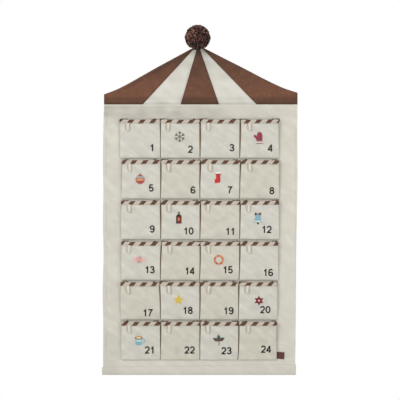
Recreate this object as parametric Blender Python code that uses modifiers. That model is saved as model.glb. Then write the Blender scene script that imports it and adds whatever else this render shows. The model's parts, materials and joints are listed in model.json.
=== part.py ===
"""Hanging advent calendar: a house-shaped canvas with 24 pockets, hung from a loop at its apex.

Units are metres, +Z is up and the front faces -Y. The origin is the top of the inside of the
hanging loop, where the hook bears, and the wall is the plane y = 0 behind the two rod sleeves.
"""

import math

import bmesh
import bpy
from mathutils import Matrix, Vector

# Cloth and clearances
CLOTH = 0.0011                # backing cloth, gores and sleeves
POCKET_CLOTH = 0.0008
BINDING_WALL = 0.0006         # one side of the folded tape
GAP = 0.0003                  # between pieces that touch
WELD = 0.00003                # corners closer than this are one
SHARP_ANGLE = math.radians(38.0)

# Pocket grid
COLUMNS = 4
ROWS = 6
POCKET_WIDTH = 0.0986
POCKET_HEIGHT = 0.0990
COLUMN_GAP = 0.0036
ROW_GAP = 0.0060

# Margins of the backing cloth round the grid
LEFT_MARGIN = 0.0456
RIGHT_MARGIN = 0.0492
TOP_MARGIN = 0.0403
BOTTOM_MARGIN = 0.0365

# One pocket, depths measured from the backing cloth to the middle of the front's cloth
MOUTH_DEPTH = 0.0110
FOOT_DEPTH = 0.0065
FOLD_WIDTH = 0.0160           # how far the gusset folds in at the mouth
GUSSET_RISE = 0.0028          # how far the folded gusset stands above the front's edge
GUSSET_DEPTH_SHARES = (0.73, 0.66, 0.39, 0.33)
GUSSET_RISE_SHARES = (0.00, 1.00, 1.00, 0.90, 0.90)

# Binding on the pocket's mouth, and the tape loop caught in it
BINDING_HEIGHT = 0.0110
BINDING_TUCK = 0.0014         # the cloth's edge lies this far below the inside of the fold
TAPE_WIDTH = 0.0115
TAPE_LENGTH = 0.0200
TAPE_INSET = 0.0112           # from the pocket's left edge

# Roof
ROOF_HEIGHT = 0.1520
EAVES_HEIGHT = 0.0245
APEX_SHIFT = 0.0067           # the apex hangs this far left of the cloth's middle
TIP_DROP = 0.0030             # the gores end this far below the apex
GORE_SEAM = 0.0005
LINING_INSET = 0.0008
GORE_COUNT = 5
BORDER_SHARES = (0.0, 0.208, 0.396, 0.594, 0.781, 1.0)
ROOF_EDGE_SHARES = ((0.45, 0.465), (0.72, 0.76), (0.86, 0.90), (0.95, 0.965), (1.0, 1.0))

# Rods and their sleeves
DOWEL_DIAMETER = 0.0100
DOWEL_SETBACK = 0.0020        # rod ends inside the cloth's side edges
DOWEL_CHAMFER = 0.0008
DOWEL_SIDES = 20
END_EDGE_ANGLE = math.radians(60.0)  # only the rod's end edges turn by more
SLEEVE_DROP = 0.0130          # upper rod below the roof's seam
SLEEVE_FLANGE = 0.0060
SLEEVE_SETBACK = 0.0040
SLEEVE_REAR_SHARE = 0.92      # half height of the flat rear, of the rod's radius
SLEEVE_BASE_SHARE = 1.60      # half height at the cloth, of the rod's radius
FOOT_HEIGHT = 0.0300          # foot sleeve, from its fold up to its stitches
FOOT_FLAT = 0.0105            # height of its flat rear
FOOT_TONGUE = 0.0050          # where the fold is sewn down
FOOT_OVERHANG = 0.0020        # the foot sleeve is this much wider at each side
FOOT_PROUD = 0.0002
FOOT_ROUND = 0.0030
FOOT_ROUND_STEPS = 3

# Hanging loop
LOOP_RISE = 0.0220            # the hook bears this far above the apex
LOOP_INSIDE = 0.0060          # inner radius of the eye
TAPE_THICKNESS = 0.0012
TAPE_BREADTH = 0.0080
LOOP_WALL_GAP = 0.0020        # between the loop and the wall
LOOP_FOOT_SPREAD = 0.0090     # sewn ends, from the middle
LOOP_TWIST_TOP = 0.0090       # twist starts and ends this far below the hook
LOOP_TWIST_END = 0.0270
LOOP_FOOT_END = 0.0460
LOOP_ARC_STEPS = 10
LOOP_TWIST_STEPS = 6

# Pom-pom
POMPOM_DIAMETER = 0.0640
POMPOM_RISE = 0.0209          # its middle above the apex
POMPOM_BACK = 0.0150          # its pressed back, behind its middle
POMPOM_SEGMENTS = 24
POMPOM_RINGS = 14

# Label
LABEL_WIDTH = 0.0200
LABEL_HEIGHT = 0.0180
LABEL_THICKNESS = 0.0009
LABEL_RISE = 0.0036           # above the last pocket's foot
LABEL_TILT = math.radians(4.0)
LABEL_ROUND = 0.0003

# Worked out from the sizes above
COLUMN_PITCH = POCKET_WIDTH + COLUMN_GAP
ROW_PITCH = POCKET_HEIGHT + ROW_GAP
GRID_WIDTH = COLUMNS * COLUMN_PITCH - COLUMN_GAP
GRID_HEIGHT = ROWS * ROW_PITCH - ROW_GAP
PANEL_WIDTH = LEFT_MARGIN + GRID_WIDTH + RIGHT_MARGIN
PANEL_HEIGHT = TOP_MARGIN + GRID_HEIGHT + BOTTOM_MARGIN
DOWEL_RADIUS = DOWEL_DIAMETER / 2

CENTRE_X = APEX_SHIFT
LEFT_X = CENTRE_X - PANEL_WIDTH / 2
RIGHT_X = CENTRE_X + PANEL_WIDTH / 2
APEX_Z = -LOOP_RISE
SEAM_Z = APEX_Z - ROOF_HEIGHT
EAVES_Z = SEAM_Z + EAVES_HEIGHT
BOTTOM_Z = SEAM_Z - PANEL_HEIGHT
BACK_Y = -(CLOTH + DOWEL_DIAMETER + 2 * GAP)
FRONT_Y = BACK_Y - CLOTH
ROOF_FRONT_Y = FRONT_Y - GAP - CLOTH
DOWEL_Y = -(CLOTH + GAP + DOWEL_RADIUS)
BAND_HALF = POCKET_CLOTH / 2 + GAP + BINDING_WALL
CORNER_X = POCKET_WIDTH / 2 - BAND_HALF
CLOTH_TOP = POCKET_HEIGHT - BINDING_WALL - BINDING_TUCK


def clear_scene():
    for old in list(bpy.data.objects):
        bpy.data.objects.remove(old, do_unlink=True)


def new_collection(name):
    made = bpy.data.collections.new(name)
    bpy.context.scene.collection.children.link(made)
    return made


def linear(channel):
    if channel <= 0.04045:
        return channel / 12.92
    return ((channel + 0.055) / 1.055) ** 2.4


def new_material(name, hex_colour, roughness):
    colour = [linear(int(hex_colour[i:i + 2], 16) / 255) for i in (0, 2, 4)]
    made = bpy.data.materials.new(name)
    made.use_nodes = True
    shader = made.node_tree.nodes["Principled BSDF"]
    shader.inputs["Base Color"].default_value = (*colour, 1.0)
    shader.inputs["Roughness"].default_value = roughness
    shader.inputs["Metallic"].default_value = 0.0
    return made


def new_object(name, mesh, material, parts):
    if not mesh.materials:
        mesh.materials.append(material)
    made = bpy.data.objects.new(name, mesh)
    parts.objects.link(made)
    return made


def mesh_from(name, shape):
    bmesh.ops.recalc_face_normals(shape, faces=shape.faces)
    mesh = bpy.data.meshes.new(name)
    shape.to_mesh(mesh)
    shape.free()
    return mesh


def solidify(piece, thickness):
    wall = piece.modifiers.new("Cloth thickness", 'SOLIDIFY')
    wall.thickness = thickness
    wall.offset = 0.0
    wall.use_even_offset = True


def plate_mesh(name, outlines, thickness, turn):
    """Weld a flat 2D curve, extruded to a thickness, and turn it into its plane."""
    curve = bpy.data.curves.new(name, 'CURVE')
    curve.dimensions = '2D'
    curve.fill_mode = 'BOTH'
    curve.extrude = thickness / 2
    for outline in outlines:
        spline = curve.splines.new('POLY')
        spline.points.add(len(outline) - 1)
        for point, (u, v) in zip(spline.points, outline):
            point.co = (u, v, 0.0, 1.0)
        spline.use_cyclic_u = True
    drawn = bpy.data.objects.new(name, curve)
    bpy.context.scene.collection.objects.link(drawn)
    graph = bpy.context.evaluated_depsgraph_get()
    mesh = bpy.data.meshes.new_from_object(drawn.evaluated_get(graph))
    bpy.data.objects.remove(drawn, do_unlink=True)
    mesh.transform(turn)
    shape = bmesh.new()
    shape.from_mesh(mesh)
    bmesh.ops.remove_doubles(shape, verts=shape.verts, dist=WELD)
    bpy.data.meshes.remove(mesh)
    return mesh_from(name, shape)


def wall_turn(y_middle):
    """Outline u, v to world x, z, with the plate's middle at a given y."""
    return Matrix.Translation((0.0, y_middle, 0.0)) @ Matrix.Rotation(math.pi / 2, 4, 'X')


def side_turn(x_middle):
    """Outline u, v to world y, z, with the plate's middle at a given x."""
    upright = Matrix.Rotation(math.pi / 2, 4, 'Z') @ Matrix.Rotation(math.pi / 2, 4, 'X')
    return Matrix.Translation((x_middle, 0.0, 0.0)) @ upright


def rounded(corners, steps):
    """Outline points from (u, v, radius) corners, with an arc in place of each rounded one."""
    points = []
    for i, (u, v, radius) in enumerate(corners):
        here = Vector((u, v))
        if radius == 0:
            points.append((u, v))
            continue
        to_last = (Vector(corners[i - 1][:2]) - here).normalized()
        to_next = (Vector(corners[(i + 1) % len(corners)][:2]) - here).normalized()
        half = to_last.angle(to_next) / 2
        centre = here + (to_last + to_next).normalized() * radius / math.sin(half)
        start = here + to_last * radius / math.tan(half) - centre
        end = here + to_next * radius / math.tan(half) - centre
        for step in range(steps + 1):
            arm = start.slerp(end, step / steps).normalized() * radius
            points.append(tuple(centre + arm))
    return points


def roof_edge(side_x, inset):
    """Points down one sloping roof edge, from below the apex to the eaves' corner."""
    return [(side_x * across, APEX_Z + (EAVES_Z - APEX_Z) * down - inset)
            for across, down in ROOF_EDGE_SHARES]


def make_backing_panel(material, parts):
    left = LEFT_X + LINING_INSET
    right = RIGHT_X - LINING_INSET
    house = [(0.0, APEX_Z - LINING_INSET)]
    house += roof_edge(right, LINING_INSET)
    house += [(right, SEAM_Z), (RIGHT_X, SEAM_Z)]
    house += [(RIGHT_X, BOTTOM_Z + FOOT_HEIGHT - FOOT_TONGUE / 2)]
    house += [(LEFT_X, BOTTOM_Z + FOOT_HEIGHT - FOOT_TONGUE / 2)]
    house += [(LEFT_X, SEAM_Z), (left, SEAM_Z)]
    house += reversed(roof_edge(left, LINING_INSET))
    cloth = plate_mesh("backing_cloth", [house], CLOTH, wall_turn((FRONT_Y + BACK_Y) / 2))
    panel = new_object("backing_panel", cloth, material, parts)
    add_foot_sleeve(panel)


def add_foot_sleeve(panel):
    """The cloth's foot, folded back round the lower rod and sewn down."""
    stitch_z = BOTTOM_Z + FOOT_HEIGHT
    front = FRONT_Y - FOOT_PROUD
    tongue_y = BACK_Y + CLOTH
    inner_round = FOOT_ROUND - CLOTH
    outer = rounded([
        (front, stitch_z, 0),
        (front, BOTTOM_Z, FOOT_ROUND),
        (0.0, BOTTOM_Z, FOOT_ROUND),
        (0.0, BOTTOM_Z + FOOT_ROUND + FOOT_FLAT, 0),
        (tongue_y, stitch_z - FOOT_TONGUE, 0),
        (tongue_y, stitch_z, 0),
    ], FOOT_ROUND_STEPS)
    hollow = rounded([
        (BACK_Y, stitch_z - FOOT_TONGUE - CLOTH, 0),
        (BACK_Y, BOTTOM_Z + CLOTH, inner_round),
        (-CLOTH, BOTTOM_Z + CLOTH, inner_round),
        (-CLOTH, BOTTOM_Z + FOOT_ROUND + FOOT_FLAT - CLOTH / 2, 0),
    ], FOOT_ROUND_STEPS)
    width = PANEL_WIDTH + 2 * FOOT_OVERHANG
    tube = plate_mesh("foot_tube", [outer, hollow], width, side_turn(CENTRE_X))
    tool = bpy.data.objects.new("foot_tube", tube)
    tool.hide_render = True
    tool.display_type = 'WIRE'
    bpy.data.collections["cutters"].objects.link(tool)
    joined = panel.modifiers.new("Foot sleeve", 'BOOLEAN')
    joined.operation = 'UNION'
    joined.solver = 'EXACT'
    joined.object = tool


def border_x(index, z):
    """Where a straight border between gores lies at a height below the apex."""
    foot = LEFT_X + PANEL_WIDTH * BORDER_SHARES[index]
    return foot * (APEX_Z - z) / ROOF_HEIGHT


def make_roof_gores(materials, parts):
    """Five gores side by side on the lining, all meeting under the pom-pom."""
    tip_z = APEX_Z - TIP_DROP
    middle_y = FRONT_Y - GAP - CLOTH / 2
    for index in range(GORE_COUNT):
        left = [(border_x(index, z) + GORE_SEAM / 2, z) for z in (tip_z, SEAM_Z)]
        right = [(border_x(index + 1, z) - GORE_SEAM / 2, z) for z in (SEAM_Z, tip_z)]
        if index == 0:
            left = outer_gore_edge(LEFT_X, tip_z)
        if index == GORE_COUNT - 1:
            right = list(reversed(outer_gore_edge(RIGHT_X, tip_z)))
        name = f"roof_gore_{index + 1}"
        mesh = plate_mesh(name, [left + right], CLOTH, wall_turn(middle_y))
        new_object(name, mesh, materials[index % 2], parts)


def outer_gore_edge(side_x, tip_z):
    """The outer gore's edge: down the roof's slope and down the eaves to the seam."""
    slope = roof_edge(side_x, 0.0)
    first_x, first_z = slope[0]
    tip_x = first_x * (APEX_Z - tip_z) / (APEX_Z - first_z)
    return [(tip_x, tip_z)] + slope + [(side_x, SEAM_Z)]


def make_pompom(material, parts):
    """A ball of yarn, pressed flat behind where it lies on the roof's tip."""
    shape = bmesh.new()
    bmesh.ops.create_uvsphere(shape, u_segments=POMPOM_SEGMENTS, v_segments=POMPOM_RINGS,
                              radius=POMPOM_DIAMETER / 2)
    everything = list(shape.verts) + list(shape.edges) + list(shape.faces)
    cut = bmesh.ops.bisect_plane(shape, geom=everything, plane_co=(0.0, POMPOM_BACK, 0.0),
                                 plane_no=(0.0, 1.0, 0.0), clear_outer=True)
    rim = [piece for piece in cut["geom_cut"] if isinstance(piece, bmesh.types.BMEdge)]
    bmesh.ops.holes_fill(shape, edges=rim)
    stitch_z = APEX_Z - TIP_DROP
    middle_y = ROOF_FRONT_Y - GAP - POMPOM_BACK
    ball_rise = POMPOM_RISE + TIP_DROP
    shift = (0.0, middle_y - ROOF_FRONT_Y, ball_rise)
    bmesh.ops.translate(shape, verts=shape.verts, vec=shift)
    pompom = new_object("pompom", mesh_from("pompom", shape), material, parts)
    pompom.location = (0.0, ROOF_FRONT_Y, stitch_z)
    pompom.data.shade_smooth()
    pompom.data.set_sharp_from_angle(angle=SHARP_ANGLE)


def tape_section(middle, tangent, twist):
    """Four corners of the tape, its breadth turned from along Y towards along X."""
    breadth = Vector((math.sin(twist), math.cos(twist), 0.0)) * TAPE_BREADTH / 2
    thick = tangent.cross(breadth).normalized() * TAPE_THICKNESS / 2
    return [middle + breadth + thick, middle + breadth - thick,
            middle - breadth - thick, middle - breadth + thick]


def loop_sections():
    """Sections down the right leg of the loop, from the top of its eye to its sewn end."""
    radius = LOOP_INSIDE + TAPE_THICKNESS / 2
    eye_y = -(LOOP_WALL_GAP + TAPE_BREADTH / 2)
    sewn_y = BACK_Y + GAP + TAPE_THICKNESS / 2
    eye_z = -LOOP_INSIDE
    sections = []
    for step in range(LOOP_ARC_STEPS // 2 + 1):
        turn = math.pi * step / LOOP_ARC_STEPS
        middle = Vector((radius * math.sin(turn), eye_y, eye_z + radius * math.cos(turn)))
        tangent = Vector((math.cos(turn), 0.0, -math.sin(turn)))
        sections.append((middle, tangent, 0.0))
    down = Vector((0.0, 0.0, -1.0))
    for step in range(LOOP_TWIST_STEPS + 1):
        share = step / LOOP_TWIST_STEPS
        ease = share * share * (3 - 2 * share)
        x = radius + (LOOP_FOOT_SPREAD - radius) * ease
        y = eye_y + (sewn_y - eye_y) * ease
        z = -(LOOP_TWIST_TOP + (LOOP_TWIST_END - LOOP_TWIST_TOP) * share)
        sections.append((Vector((x, y, z)), down, ease * math.pi / 2))
    sections.append((Vector((LOOP_FOOT_SPREAD, sewn_y, -LOOP_FOOT_END)), down, math.pi / 2))
    return sections


def make_hanging_loop(material, parts):
    """A tape that goes over the hook on its broad side and is sewn flat behind the apex."""
    shape = bmesh.new()
    right = [tape_section(*section) for section in loop_sections()]
    flip = Matrix.Scale(-1.0, 4, (1.0, 0.0, 0.0))
    left = [[flip @ corner for corner in section] for section in reversed(right[1:])]
    rings = [[shape.verts.new(corner) for corner in section] for section in left + right]
    for here, after in zip(rings, rings[1:]):
        for i in range(4):
            j = (i + 1) % 4
            shape.faces.new((here[i], here[j], after[j], after[i]))
    shape.faces.new(rings[0])
    shape.faces.new(rings[-1])
    new_object("hanging_loop", mesh_from("hanging_loop", shape), material, parts)


def make_upper_sleeve(material, parts):
    """A strip sewn across the back, bulged out to take the upper rod."""
    middle_z = SEAM_Z - SLEEVE_DROP
    sewn_y = BACK_Y + GAP + CLOTH / 2
    rear_y = -CLOTH / 2
    base = DOWEL_RADIUS * SLEEVE_BASE_SHARE
    rear = DOWEL_RADIUS * SLEEVE_REAR_SHARE
    half = [(sewn_y, base + SLEEVE_FLANGE), (sewn_y, base), (rear_y, rear)]
    profile = [(y, middle_z + up) for y, up in half]
    profile += [(y, middle_z - up) for y, up in reversed(half)]
    shape = bmesh.new()
    start_x = LEFT_X + SLEEVE_SETBACK
    verts = [shape.verts.new((start_x, y, z)) for y, z in profile]
    edges = [shape.edges.new(pair) for pair in zip(verts, verts[1:])]
    swept = bmesh.ops.extrude_edge_only(shape, edges=edges)
    moved = [piece for piece in swept["geom"] if isinstance(piece, bmesh.types.BMVert)]
    length = PANEL_WIDTH - 2 * SLEEVE_SETBACK
    bmesh.ops.translate(shape, verts=moved, vec=(length, 0.0, 0.0))
    sleeve = new_object("upper_sleeve", mesh_from("upper_sleeve", shape), material, parts)
    solidify(sleeve, CLOTH)


def make_dowel(name, z, material, parts):
    """A wooden rod with its ends eased, lying along X in its sleeve."""
    shape = bmesh.new()
    bmesh.ops.create_cone(shape, cap_ends=True, segments=DOWEL_SIDES, radius1=DOWEL_RADIUS,
                          radius2=DOWEL_RADIUS, depth=PANEL_WIDTH - 2 * DOWEL_SETBACK)
    bmesh.ops.rotate(shape, verts=shape.verts, cent=(0.0, 0.0, 0.0),
                     matrix=Matrix.Rotation(math.pi / 2, 3, 'Y'))
    dowel = new_object(name, mesh_from(name, shape), material, parts)
    dowel.location = (CENTRE_X, DOWEL_Y, z)
    eased = dowel.modifiers.new("Eased ends", 'BEVEL')
    eased.width = DOWEL_CHAMFER
    eased.segments = 1
    eased.limit_method = 'ANGLE'
    eased.angle_limit = END_EDGE_ANGLE
    dowel.data.shade_smooth()
    dowel.data.set_sharp_from_angle(angle=SHARP_ANGLE)


def pocket_section(level):
    """Plan outline of the pocket's cloth at a level from 0, its foot, to 1, its mouth.

    It runs from the left rear edge, in and out of the left gusset's fold, along the front
    and back through the right gusset. Each point is x, y and its share of the gusset's rise.
    """
    depth = FOOT_DEPTH + (MOUTH_DEPTH - FOOT_DEPTH) * level
    fold = FOLD_WIDTH * level
    depths = [depth] + [depth * share for share in GUSSET_DEPTH_SHARES] + [GAP]
    insets = [0.0, 0.0, fold, fold, 0.0, 0.0]
    rises = [0.0] + list(GUSSET_RISE_SHARES)
    right = [(CORNER_X - inset, -out, rise) for inset, out, rise in zip(insets, depths, rises)]
    left = [(-x, y, rise) for x, y, rise in reversed(right)]
    return left + right


def pocket_point(place, level, height):
    x, y, rise = place
    return Vector((x, y, height + GUSSET_RISE * rise * level))


def pocket_mesh():
    """One pocket's cloth as an open surface: foot, front and both folded gussets."""
    shape = bmesh.new()
    foot_z = POCKET_CLOTH / 2
    low = [shape.verts.new(pocket_point(p, 0.0, foot_z)) for p in pocket_section(0.0)]
    high = [shape.verts.new(pocket_point(p, 1.0, CLOTH_TOP)) for p in pocket_section(1.0)]
    for i in range(len(low) - 1):
        shape.faces.new((low[i], low[i + 1], high[i + 1], high[i]))
    shape.faces.new(low)
    return mesh_from("pocket", shape)


def offset_path(path, distance):
    """Move each point of a plan path sideways, along the mitre of its two runs."""
    moved = []
    for i, point in enumerate(path):
        runs = []
        if i > 0:
            runs.append((point - path[i - 1]).normalized())
        if i < len(path) - 1:
            runs.append((path[i + 1] - point).normalized())
        normals = [Vector((run.y, -run.x)) for run in runs]
        mitre = sum(normals, Vector((0.0, 0.0))).normalized()
        moved.append(point + mitre * distance / mitre.dot(normals[0]))
    return moved


def binding_section(level, tape_edges):
    """The pocket's plan outline with two more points where the tape loop's sides are."""
    section = pocket_section(level)
    corner = len(section) // 2
    front_y = section[corner][1]
    extra = [(x, front_y, 0.0) for x in tape_edges]
    return section[:corner] + extra + section[corner:]


def binding_mesh():
    """Tape folded over the pocket's mouth as an open surface, with the tape loop's tab."""
    tape_left = -POCKET_WIDTH / 2 + TAPE_INSET
    tape_edges = (tape_left, tape_left + TAPE_WIDTH)
    reach = POCKET_CLOTH / 2 + GAP + BINDING_WALL / 2
    top = POCKET_HEIGHT - BINDING_WALL / 2
    bottom = POCKET_HEIGHT - BINDING_HEIGHT
    low_level = (bottom - POCKET_CLOTH / 2) / (CLOTH_TOP - POCKET_CLOTH / 2)
    corner = len(pocket_section(1.0)) // 2
    shape = bmesh.new()
    rows = []
    for level, height, side in ((low_level, bottom, 1), (1.0, top, 1),
                                (1.0, top, -1), (low_level, bottom, -1)):
        section = binding_section(level, tape_edges)
        plan = offset_path([Vector(place[:2]) for place in section], side * reach)
        rows.append([shape.verts.new((at.x, at.y, height + GUSSET_RISE * place[2] * level))
                     for at, place in zip(plan, section)])
    for row, after in zip(rows, rows[1:]):
        for i in range(len(row) - 1):
            shape.faces.new((row[i], row[i + 1], after[i + 1], after[i]))
    hem = shape.edges.get((rows[0][corner], rows[0][corner + 1]))
    tab = bmesh.ops.extrude_edge_only(shape, edges=[hem])
    moved = [piece for piece in tab["geom"] if isinstance(piece, bmesh.types.BMVert)]
    bmesh.ops.translate(shape, verts=moved, vec=(0.0, 0.0, -TAPE_LENGTH))
    return mesh_from("binding", shape)


def make_pockets(cloth, tape, parts):
    """Twenty-four pockets on their bottom seams, each with its binding."""
    pocket = pocket_mesh()
    binding = binding_mesh()
    first_x = LEFT_X + LEFT_MARGIN + POCKET_WIDTH / 2
    first_z = SEAM_Z - TOP_MARGIN - POCKET_HEIGHT
    for index in range(COLUMNS * ROWS):
        row, column = divmod(index, COLUMNS)
        number = f"{index + 1:02d}"
        seam = bpy.data.objects.new(f"seam_{number}", None)
        parts.objects.link(seam)
        seam.location = (first_x + column * COLUMN_PITCH, FRONT_Y, first_z - row * ROW_PITCH)
        front = new_object(f"pocket_{number}", pocket, cloth, parts)
        front.parent = seam
        solidify(front, POCKET_CLOTH)
        band = new_object(f"binding_{number}", binding, tape, parts)
        band.parent = seam
        solidify(band, BINDING_WALL)


def make_label(material, parts):
    """A bare woven tab beside the last pocket's foot."""
    shape = bmesh.new()
    bmesh.ops.create_cube(shape, size=1.0)
    bmesh.ops.scale(shape, verts=shape.verts, vec=(LABEL_WIDTH, LABEL_THICKNESS, LABEL_HEIGHT))
    bmesh.ops.rotate(shape, verts=shape.verts, cent=(0.0, 0.0, 0.0),
                     matrix=Matrix.Rotation(LABEL_TILT, 3, 'Y'))
    label = new_object("label", mesh_from("label", shape), material, parts)
    grid_right = RIGHT_X - RIGHT_MARGIN
    grid_bottom = SEAM_Z - TOP_MARGIN - GRID_HEIGHT
    lean = LABEL_HEIGHT / 2 * math.sin(LABEL_TILT)
    label.location = (grid_right + GAP + lean + LABEL_WIDTH / 2,
                      FRONT_Y - GAP - LABEL_THICKNESS / 2,
                      grid_bottom + LABEL_RISE + LABEL_HEIGHT / 2)
    eased = label.modifiers.new("Soft edge", 'BEVEL')
    eased.width = LABEL_ROUND
    eased.segments = 1


def main():
    clear_scene()
    parts = new_collection("advent_calendar")
    new_collection("cutters")
    cream = new_material("cream_canvas", "D3CFC4", 0.92)
    pocket_cream = new_material("pocket_canvas", "D6D4CC", 0.92)
    brown = new_material("brown_canvas", "745041", 0.90)
    striped = new_material("striped_tape", "9C7F70", 0.88)
    yarn = new_material("brown_yarn", "4E352B", 0.95)
    tape = new_material("cotton_tape", "D9D5CB", 0.90)
    wood = new_material("beech", "C9A57A", 0.55)
    woven = new_material("woven_label", "5A2A28", 0.80)
    make_backing_panel(cream, parts)
    make_roof_gores((brown, cream), parts)
    make_pompom(yarn, parts)
    make_hanging_loop(tape, parts)
    make_upper_sleeve(cream, parts)
    make_dowel("upper_dowel", SEAM_Z - SLEEVE_DROP, wood, parts)
    make_dowel("lower_dowel", BOTTOM_Z + CLOTH + GAP + DOWEL_RADIUS, wood, parts)
    make_pockets(pocket_cream, striped, parts)
    make_label(woven, parts)


main()
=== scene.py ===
"""Dress a hanging advent calendar: canvas, striped tape, yarn, print and embroidery.

Each operator makes one piece or one group of like pieces around the fixed frame. Places are
read from the frame, and the sizes and colours that a user may change are in the panel.
"""
import json
import math
import random

import bpy
import numpy as np
from bpy.props import FloatProperty, FloatVectorProperty, IntProperty, PointerProperty
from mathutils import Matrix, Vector


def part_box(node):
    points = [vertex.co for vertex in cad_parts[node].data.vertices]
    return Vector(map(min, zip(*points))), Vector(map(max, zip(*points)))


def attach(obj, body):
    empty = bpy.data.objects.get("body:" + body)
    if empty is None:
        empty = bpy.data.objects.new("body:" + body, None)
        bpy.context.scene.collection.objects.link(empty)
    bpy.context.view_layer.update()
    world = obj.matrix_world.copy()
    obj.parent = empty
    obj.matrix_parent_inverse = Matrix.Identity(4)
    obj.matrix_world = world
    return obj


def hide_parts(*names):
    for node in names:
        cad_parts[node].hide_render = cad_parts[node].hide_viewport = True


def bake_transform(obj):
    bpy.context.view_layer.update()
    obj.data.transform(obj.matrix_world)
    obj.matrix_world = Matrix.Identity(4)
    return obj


bl_info = {
    "name": "Hanging Advent Calendar",
    "version": (1, 0, 0),
    "blender": (4, 5, 0),
    "location": "View3D > Sidebar > Calendar",
    "description": "Makes the cloth, tape, yarn and print of a hanging advent calendar",
    "category": "Add Mesh",
}

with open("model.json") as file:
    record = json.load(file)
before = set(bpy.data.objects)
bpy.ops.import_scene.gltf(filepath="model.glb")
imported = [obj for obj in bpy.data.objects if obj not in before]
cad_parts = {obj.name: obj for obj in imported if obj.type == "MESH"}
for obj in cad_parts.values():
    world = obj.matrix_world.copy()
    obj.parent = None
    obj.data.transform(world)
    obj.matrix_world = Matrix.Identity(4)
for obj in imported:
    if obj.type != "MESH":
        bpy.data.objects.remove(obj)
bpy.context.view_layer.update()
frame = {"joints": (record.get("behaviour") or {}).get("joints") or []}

# Places and cut sizes read from the frame
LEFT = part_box("roof_gore_1")[0].x
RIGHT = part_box("roof_gore_5")[1].x
MIDDLE = (LEFT + RIGHT) / 2
SEAM, TIP = (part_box("roof_gore_3")[end].z for end in (0, 1))
ROOF_FRONT, ROOF_BACK = (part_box("roof_gore_3")[end].y for end in (0, 1))
CLOTH = ROOF_BACK - ROOF_FRONT
TOUCH = 0.0003                   # between pieces that touch
CLOTH_FRONT = ROOF_BACK + TOUCH
CLOTH_BACK = CLOTH_FRONT + CLOTH
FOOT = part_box("backing_panel")[0].z
APEX = TIP + 0.0030              # the gores end this far below the apex
SEAMS_MEET = TIP + 0.0050        # where the gores' seams would meet
SEAMS = {int(joint["name"][7:9]): Vector(joint["pos_m"])
         for joint in frame["joints"] if joint["name"].startswith("pocket_")}
POCKET_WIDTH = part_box("binding_01")[1].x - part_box("binding_01")[0].x
BINDING_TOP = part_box("binding_01")[1].z - SEAMS[1].z
GRID_LEFT = SEAMS[1].x - POCKET_WIDTH / 2
GRID_RIGHT = SEAMS[4].x + POCKET_WIDTH / 2
GRID_TOP = SEAMS[1].z + BINDING_TOP
GRID_BOTTOM = SEAMS[24].z
GAPS = [(SEAMS[column].x + SEAMS[column + 1].x) / 2 for column in (1, 2, 3)]
ROW_PITCH = SEAMS[1].z - SEAMS[5].z
SIDES = ((-1, LEFT), (1, RIGHT))     # which way is outwards, and the cloth's edge there
MILLIMETRE = 0.001


def srgb(code):
    """The linear colour of an sRGB hex value."""
    shades = [int(code[start:start + 2], 16) / 255 for start in (1, 3, 5)]
    linear = [s / 12.92 if s <= 0.04045 else ((s + 0.055) / 1.055) ** 2.4 for s in shades]
    return (*linear, 1.0)


def size(name, default, description):
    """A length that a user can change."""
    return FloatProperty(name=name, description=description, default=default,
                         precision=5, unit='LENGTH')


def tint(name, code, description):
    """A colour that a user can change."""
    return FloatVectorProperty(name=name, description=description, default=srgb(code),
                               size=4, min=0.0, max=1.0, subtype='COLOR')


class CalendarCloth(bpy.types.PropertyGroup):
    """Canvas of the backing panel, the roof and the sleeves."""
    thread: size("Thread spacing", 0.0011, "Spacing of the canvas threads as drawn")
    ripple_height: size("Ripple", 0.0020, "Height of the soft ripples in the side margins")
    edge_wave: size("Edge wave", 0.0008, "How far the panel's side edges wander")
    foot_taper: size("Foot taper", 0.0058, "How much the right edge draws in towards the foot")
    gore_puff: size("Gore puff", 0.0015, "How far a gore swells between its seams")
    gore_roll: size("Gore seam roll", 0.0050, "Width of the rolled edge beside a gore's seam")
    hem: size("Side hem", 0.0065, "Width of the turned hem along the panel's sides")
    rod_inset: size("Rod inset", 0.0080, "How far the lower rod ends inside its sleeve")
    foot_sleeve: size("Foot sleeve", 0.0300, "Height of the sleeve round the lower rod")
    cream: tint("Cream canvas", "#dcd8cc", "Undyed canvas of the panel")
    gore_cream: tint("Cream gores", "#d9d6cc", "Paler undyed canvas of the roof")
    brown: tint("Brown canvas", "#754e3c", "Dyed canvas of the roof")
    brown_nap: tint("Brown nap", "#93654c", "Where the brown canvas is rubbed")
    sewing_thread: tint("Sewing thread", "#cfc8b8", "Cotton thread of the cream seams")


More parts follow.
